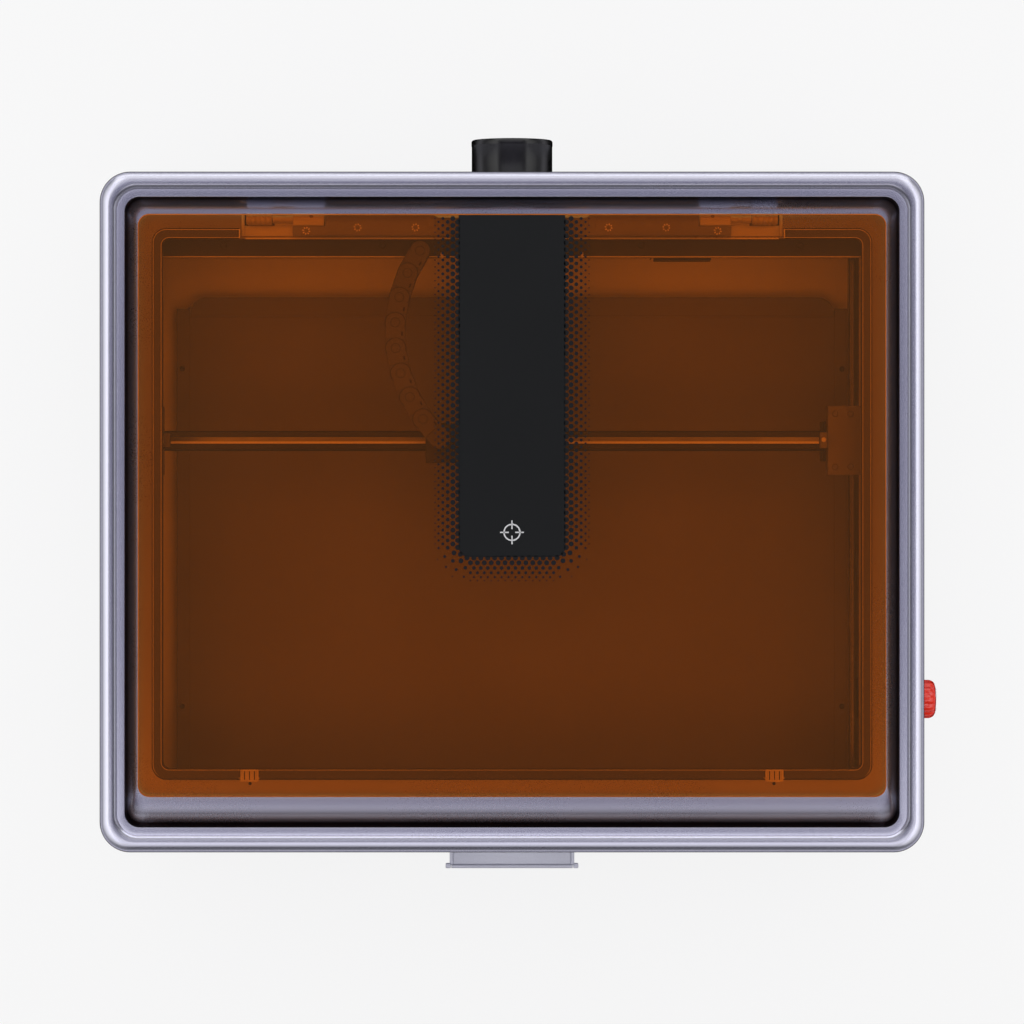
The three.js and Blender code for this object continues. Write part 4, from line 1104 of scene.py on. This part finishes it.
def make_drive():
    for name in SIDES:
        pulley(f"idler_wheel_{name}", f"y_idler_{name}", f"y_pulley_{name}", "x")
        dress(f"y_idler_bracket_{name}", "dark", 0.4)
        dress(f"y_belt_{name}", "rubber", 0.25)
    pulley("x_idler_wheel", "x_idler", "x_pulley_idler", "z")
    for node, finish, bevel in (("x_drive_pulley", "steel", 0.2), ("x_belt", "rubber", 0.25),
                                ("y_drive_shaft", "steel", 0.2), ("y_motor", "dark", 0.8), ("x_motor", "dark", 0.8)):
        dress(node, finish, bevel)
    lo, hi = node_mm("y_motor")
    straps = Solid()
    straps.block((lo.x, lo.y + 1, lo.z + 4), (lo.x + 1.2, hi.y - 1, lo.z + 24), 0.3)
    for y, z in product((lo.y + 4, hi.y - 4), (lo.z + 8, lo.z + 20)):
        straps.screw((hi.x, y, z), "x", 1.6, 1.0)
    add_piece("motor_fittings", straps, "chassis", "steel")


def make_fan():
    dress("fan_housing", "plastic", 0.8)
    dress("fan_rotor", "plastic", 0.4)
    x, _, z = middle_of("fan_rotor")
    hub = Solid().lathe([(13.6, 200), (14.6, 199.4), (14.6, 199.05), (12.5, 199.0), (11.8, 199.3), (0.2, 199.3)],
                        "y", (x, 0, z), 64)
    add_piece("fan_hub_cap", hub, "fan", "graphite")


def make_head():
    dress("head_carriage", "graphite", 0.7)
    dress("laser_module", "anodised", 0.7)
    lo, hi = node_mm("laser_module")
    cx, cy, _ = middle_of("laser_module")
    cy -= 0.4
    top = Solid()
    top.lathe([(12.6, hi.z), (15.2, hi.z), (15.2, hi.z + 0.8), (14.6, hi.z + 1.2), (13.0, hi.z + 1.2),
               (12.6, hi.z + 0.8)], "z", (cx, cy, 0), 64, closed=True)
    for k in range(7):
        turn = Matrix.Translation((cx, cy, hi.z + 0.1)) @ Matrix.Rotation(tau * k / 7, 4, "Z")
        turn = turn @ Matrix.Rotation(radians(14), 4, "Y")
        top.block((4.2, -2.4, 0.1), (12.2, 2.6, 0.6), 0.1, turn=turn)
    top.lathe([(5.0, hi.z), (5.0, hi.z + 0.9), (4.4, hi.z + 1.2)], "z", (cx, cy, 0), 40)
    for dx, dy in product((-13.6, 13.6), (-14.2, 14.2)):
        top.screw((cx + dx, cy + dy, hi.z), "z", 1.5, 0.9, mark=1)
    add_piece("head_fan", top, "laser", ["plastic", "steel"])
    add_screws("head_screws", "laser", "steel",
               [(x, lo.y, z) for x, z in product((lo.x + 3.2, hi.x - 3.2), (lo.z + 6, hi.z - 5))], "-y", 1.5, 0.9)
    cx, cy, _ = middle_of("laser_nozzle")
    z0, z1 = (corner.z for corner in node_mm("laser_nozzle"))
    profile = [(1.6, z0 + 0.6), (2.2, z0), (4.6, z0), (5.0, z0 + 0.5), (6.6, z0 + 4.6), (8.6, z0 + 5.0)]
    profile += [(10.6, z0 + 5.0), (11.0, z0 + 5.5), (11.0, z1 - 2.4), (10.6, z1 - 2.0), (10.6, z1 - 1.6)]
    profile += [(11.0, z1 - 1.2), (11.0, z1 - 0.4), (10.6, z1), (1.6, z1)]
    nozzle = Solid().lathe(profile, "z", (cx, cy, 0), 72, closed=True)
    add_piece("nozzle", nozzle, "laser", "brass", "laser_nozzle")
    lo, hi = node_mm("focus_knob")
    _, y, z = middle_of("focus_knob")
    section = ((lo.x, 5.5, 0), (lo.x + 0.5, 6.0, 0.35), (hi.x - 1.0, 6.0, 0.35), (hi.x, 5.2, 0))
    knob = Solid().loft([fluted(x, y, z, reach, depth, 24, 96) for x, reach, depth in section])
    knob.block((hi.x - 0.15, y - 0.4, z + 1.4), (hi.x, y + 0.4, z + 4.6), 0, mark=1)
    add_piece("focus_wheel_knob", knob, "focus_wheel", ["plastic", "white"], "focus_knob")


def make_chain():
    """Cable chain: seven links between pivots on an arc, from the fixed end at the rear to the beam."""
    z0, z1 = (corner.z for corner in node_mm("drag_chain"))
    pivots = [Vector((x, y, 0)) for x, y in arc_points(20.5, 124.0, 101.5, 146.0, 226.0, 8)]
    links = Solid()
    half = 7.3
    for a, b in zip(pivots, pivots[1:]):
        along, length = (b - a).normalized(), (b - a).length
        turn = Matrix.Translation(a) @ Matrix.Rotation(atan2(along.y, along.x), 4, "Z")
        plate = arc_points(0, 0, half, 90, 270, 14) + arc_points(length, 0, half, -90, 90, 14)
        links.prism(plate, z1 - 3.0, z1 - 1.6, 0.2, 1, turn=turn)
        links.prism(plate, z0 + 1.6, z0 + 3.0, 0.2, 1, turn=turn)
        collar = arc_points(0, 0, half, 70, 290, 18) + [(length * 0.62, -half), (length * 0.62, half)]
        links.prism(collar, z1 - 1.55, z1 - 0.15, 0.25, 1, turn=turn)
        links.prism(collar, z0 + 0.15, z0 + 1.55, 0.25, 1, turn=turn)
        for side in (-1, 1):
            y0, y1 = sorted((side * (half - 1.6), side * half))
            links.block((length * 0.25, y0, z0 + 1), (length * 0.62, y1, z1 - 1), 0.3, 1, turn=turn)
        section = ((3.4, z1 - 0.2), (3.4, z1), (2.9, z1), (2.9, z1 - 0.2))
        links.loft([[turn @ Vector((u, v, z)) for u, v in circle(r, 28)] for r, z in section], 1, closed=True)
        edge = arc_points(0, 0, half - 0.3, 62, 298, 18)
        links.tube([turn @ Vector((u, v, z1 - 0.3)) for u, v in edge], 0.28, 6, mark=2)
        links.block((length * 0.36, half - 3.4, z1 - 0.3), (length * 0.52, half - 2.2, z1 - 0.02), 0, mark=2,
                    turn=turn)
    obj = add_piece("cable_chain", links, None, ["chain", "dark", "rubber"], "drag_chain")
    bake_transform(obj)


def make_cable():
    """Coiled lead between the chain's end on the beam and the head."""
    lo, hi = node_mm("head_cable")
    _, y, z = middle_of("head_cable")
    turns, steps = 9, 22
    path = [(lo.x, y, z)]
    for i in range(turns * steps + 1):
        share = i / (turns * steps)
        a = tau * turns * share
        r = 2.3 * min(1, 8 * share, 8 * (1 - share))
        x = lo.x + 0.6 + (hi.x - lo.x - 1.2) * share
        path.append((x, y + r * cos(a), z + r * sin(a)))
    path.append((hi.x, y, z))
    obj = add_piece("head_lead", Solid().tube(path, 1.05, 10), None, "rubber", "head_cable", 60)
    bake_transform(obj)


def make_base():
    dress("base_pan", "dark", 0.6)
    for end, name in product(("front", "rear"), SIDES):
        node = f"foot_{end}_{name}"
        x, y, _ = middle_of(node)
        high = node_mm(node)[1].z
        profile = [(3.2, 2.2), (3.2, 0.0), (11.4, 0.0), (12.2, 0.5), (14.0, 7.6), (14.0, 9.2), (13.5, high)]
        profile += [(0.3, high), (0.3, 2.2)]
        foot = Solid().lathe(profile, "z", (x, y, 0), 64)
        foot.screw((x, y, 3.6), "-z", 2.6, 1.2, mark=1)
        add_piece(f"rubber_foot_{end}_{name}", foot, "chassis", ["rubber", "steel"], node)


for make in (make_camera, make_stage, make_bezel, make_shells, make_ends, make_lid, make_stripe, make_seal,
             make_hinges, make_spigot, make_stop, make_start, make_pull, make_power, make_bed, make_shelf,
             make_gantry, make_drive, make_fan, make_head, make_chain, make_cable, make_base):
    make()
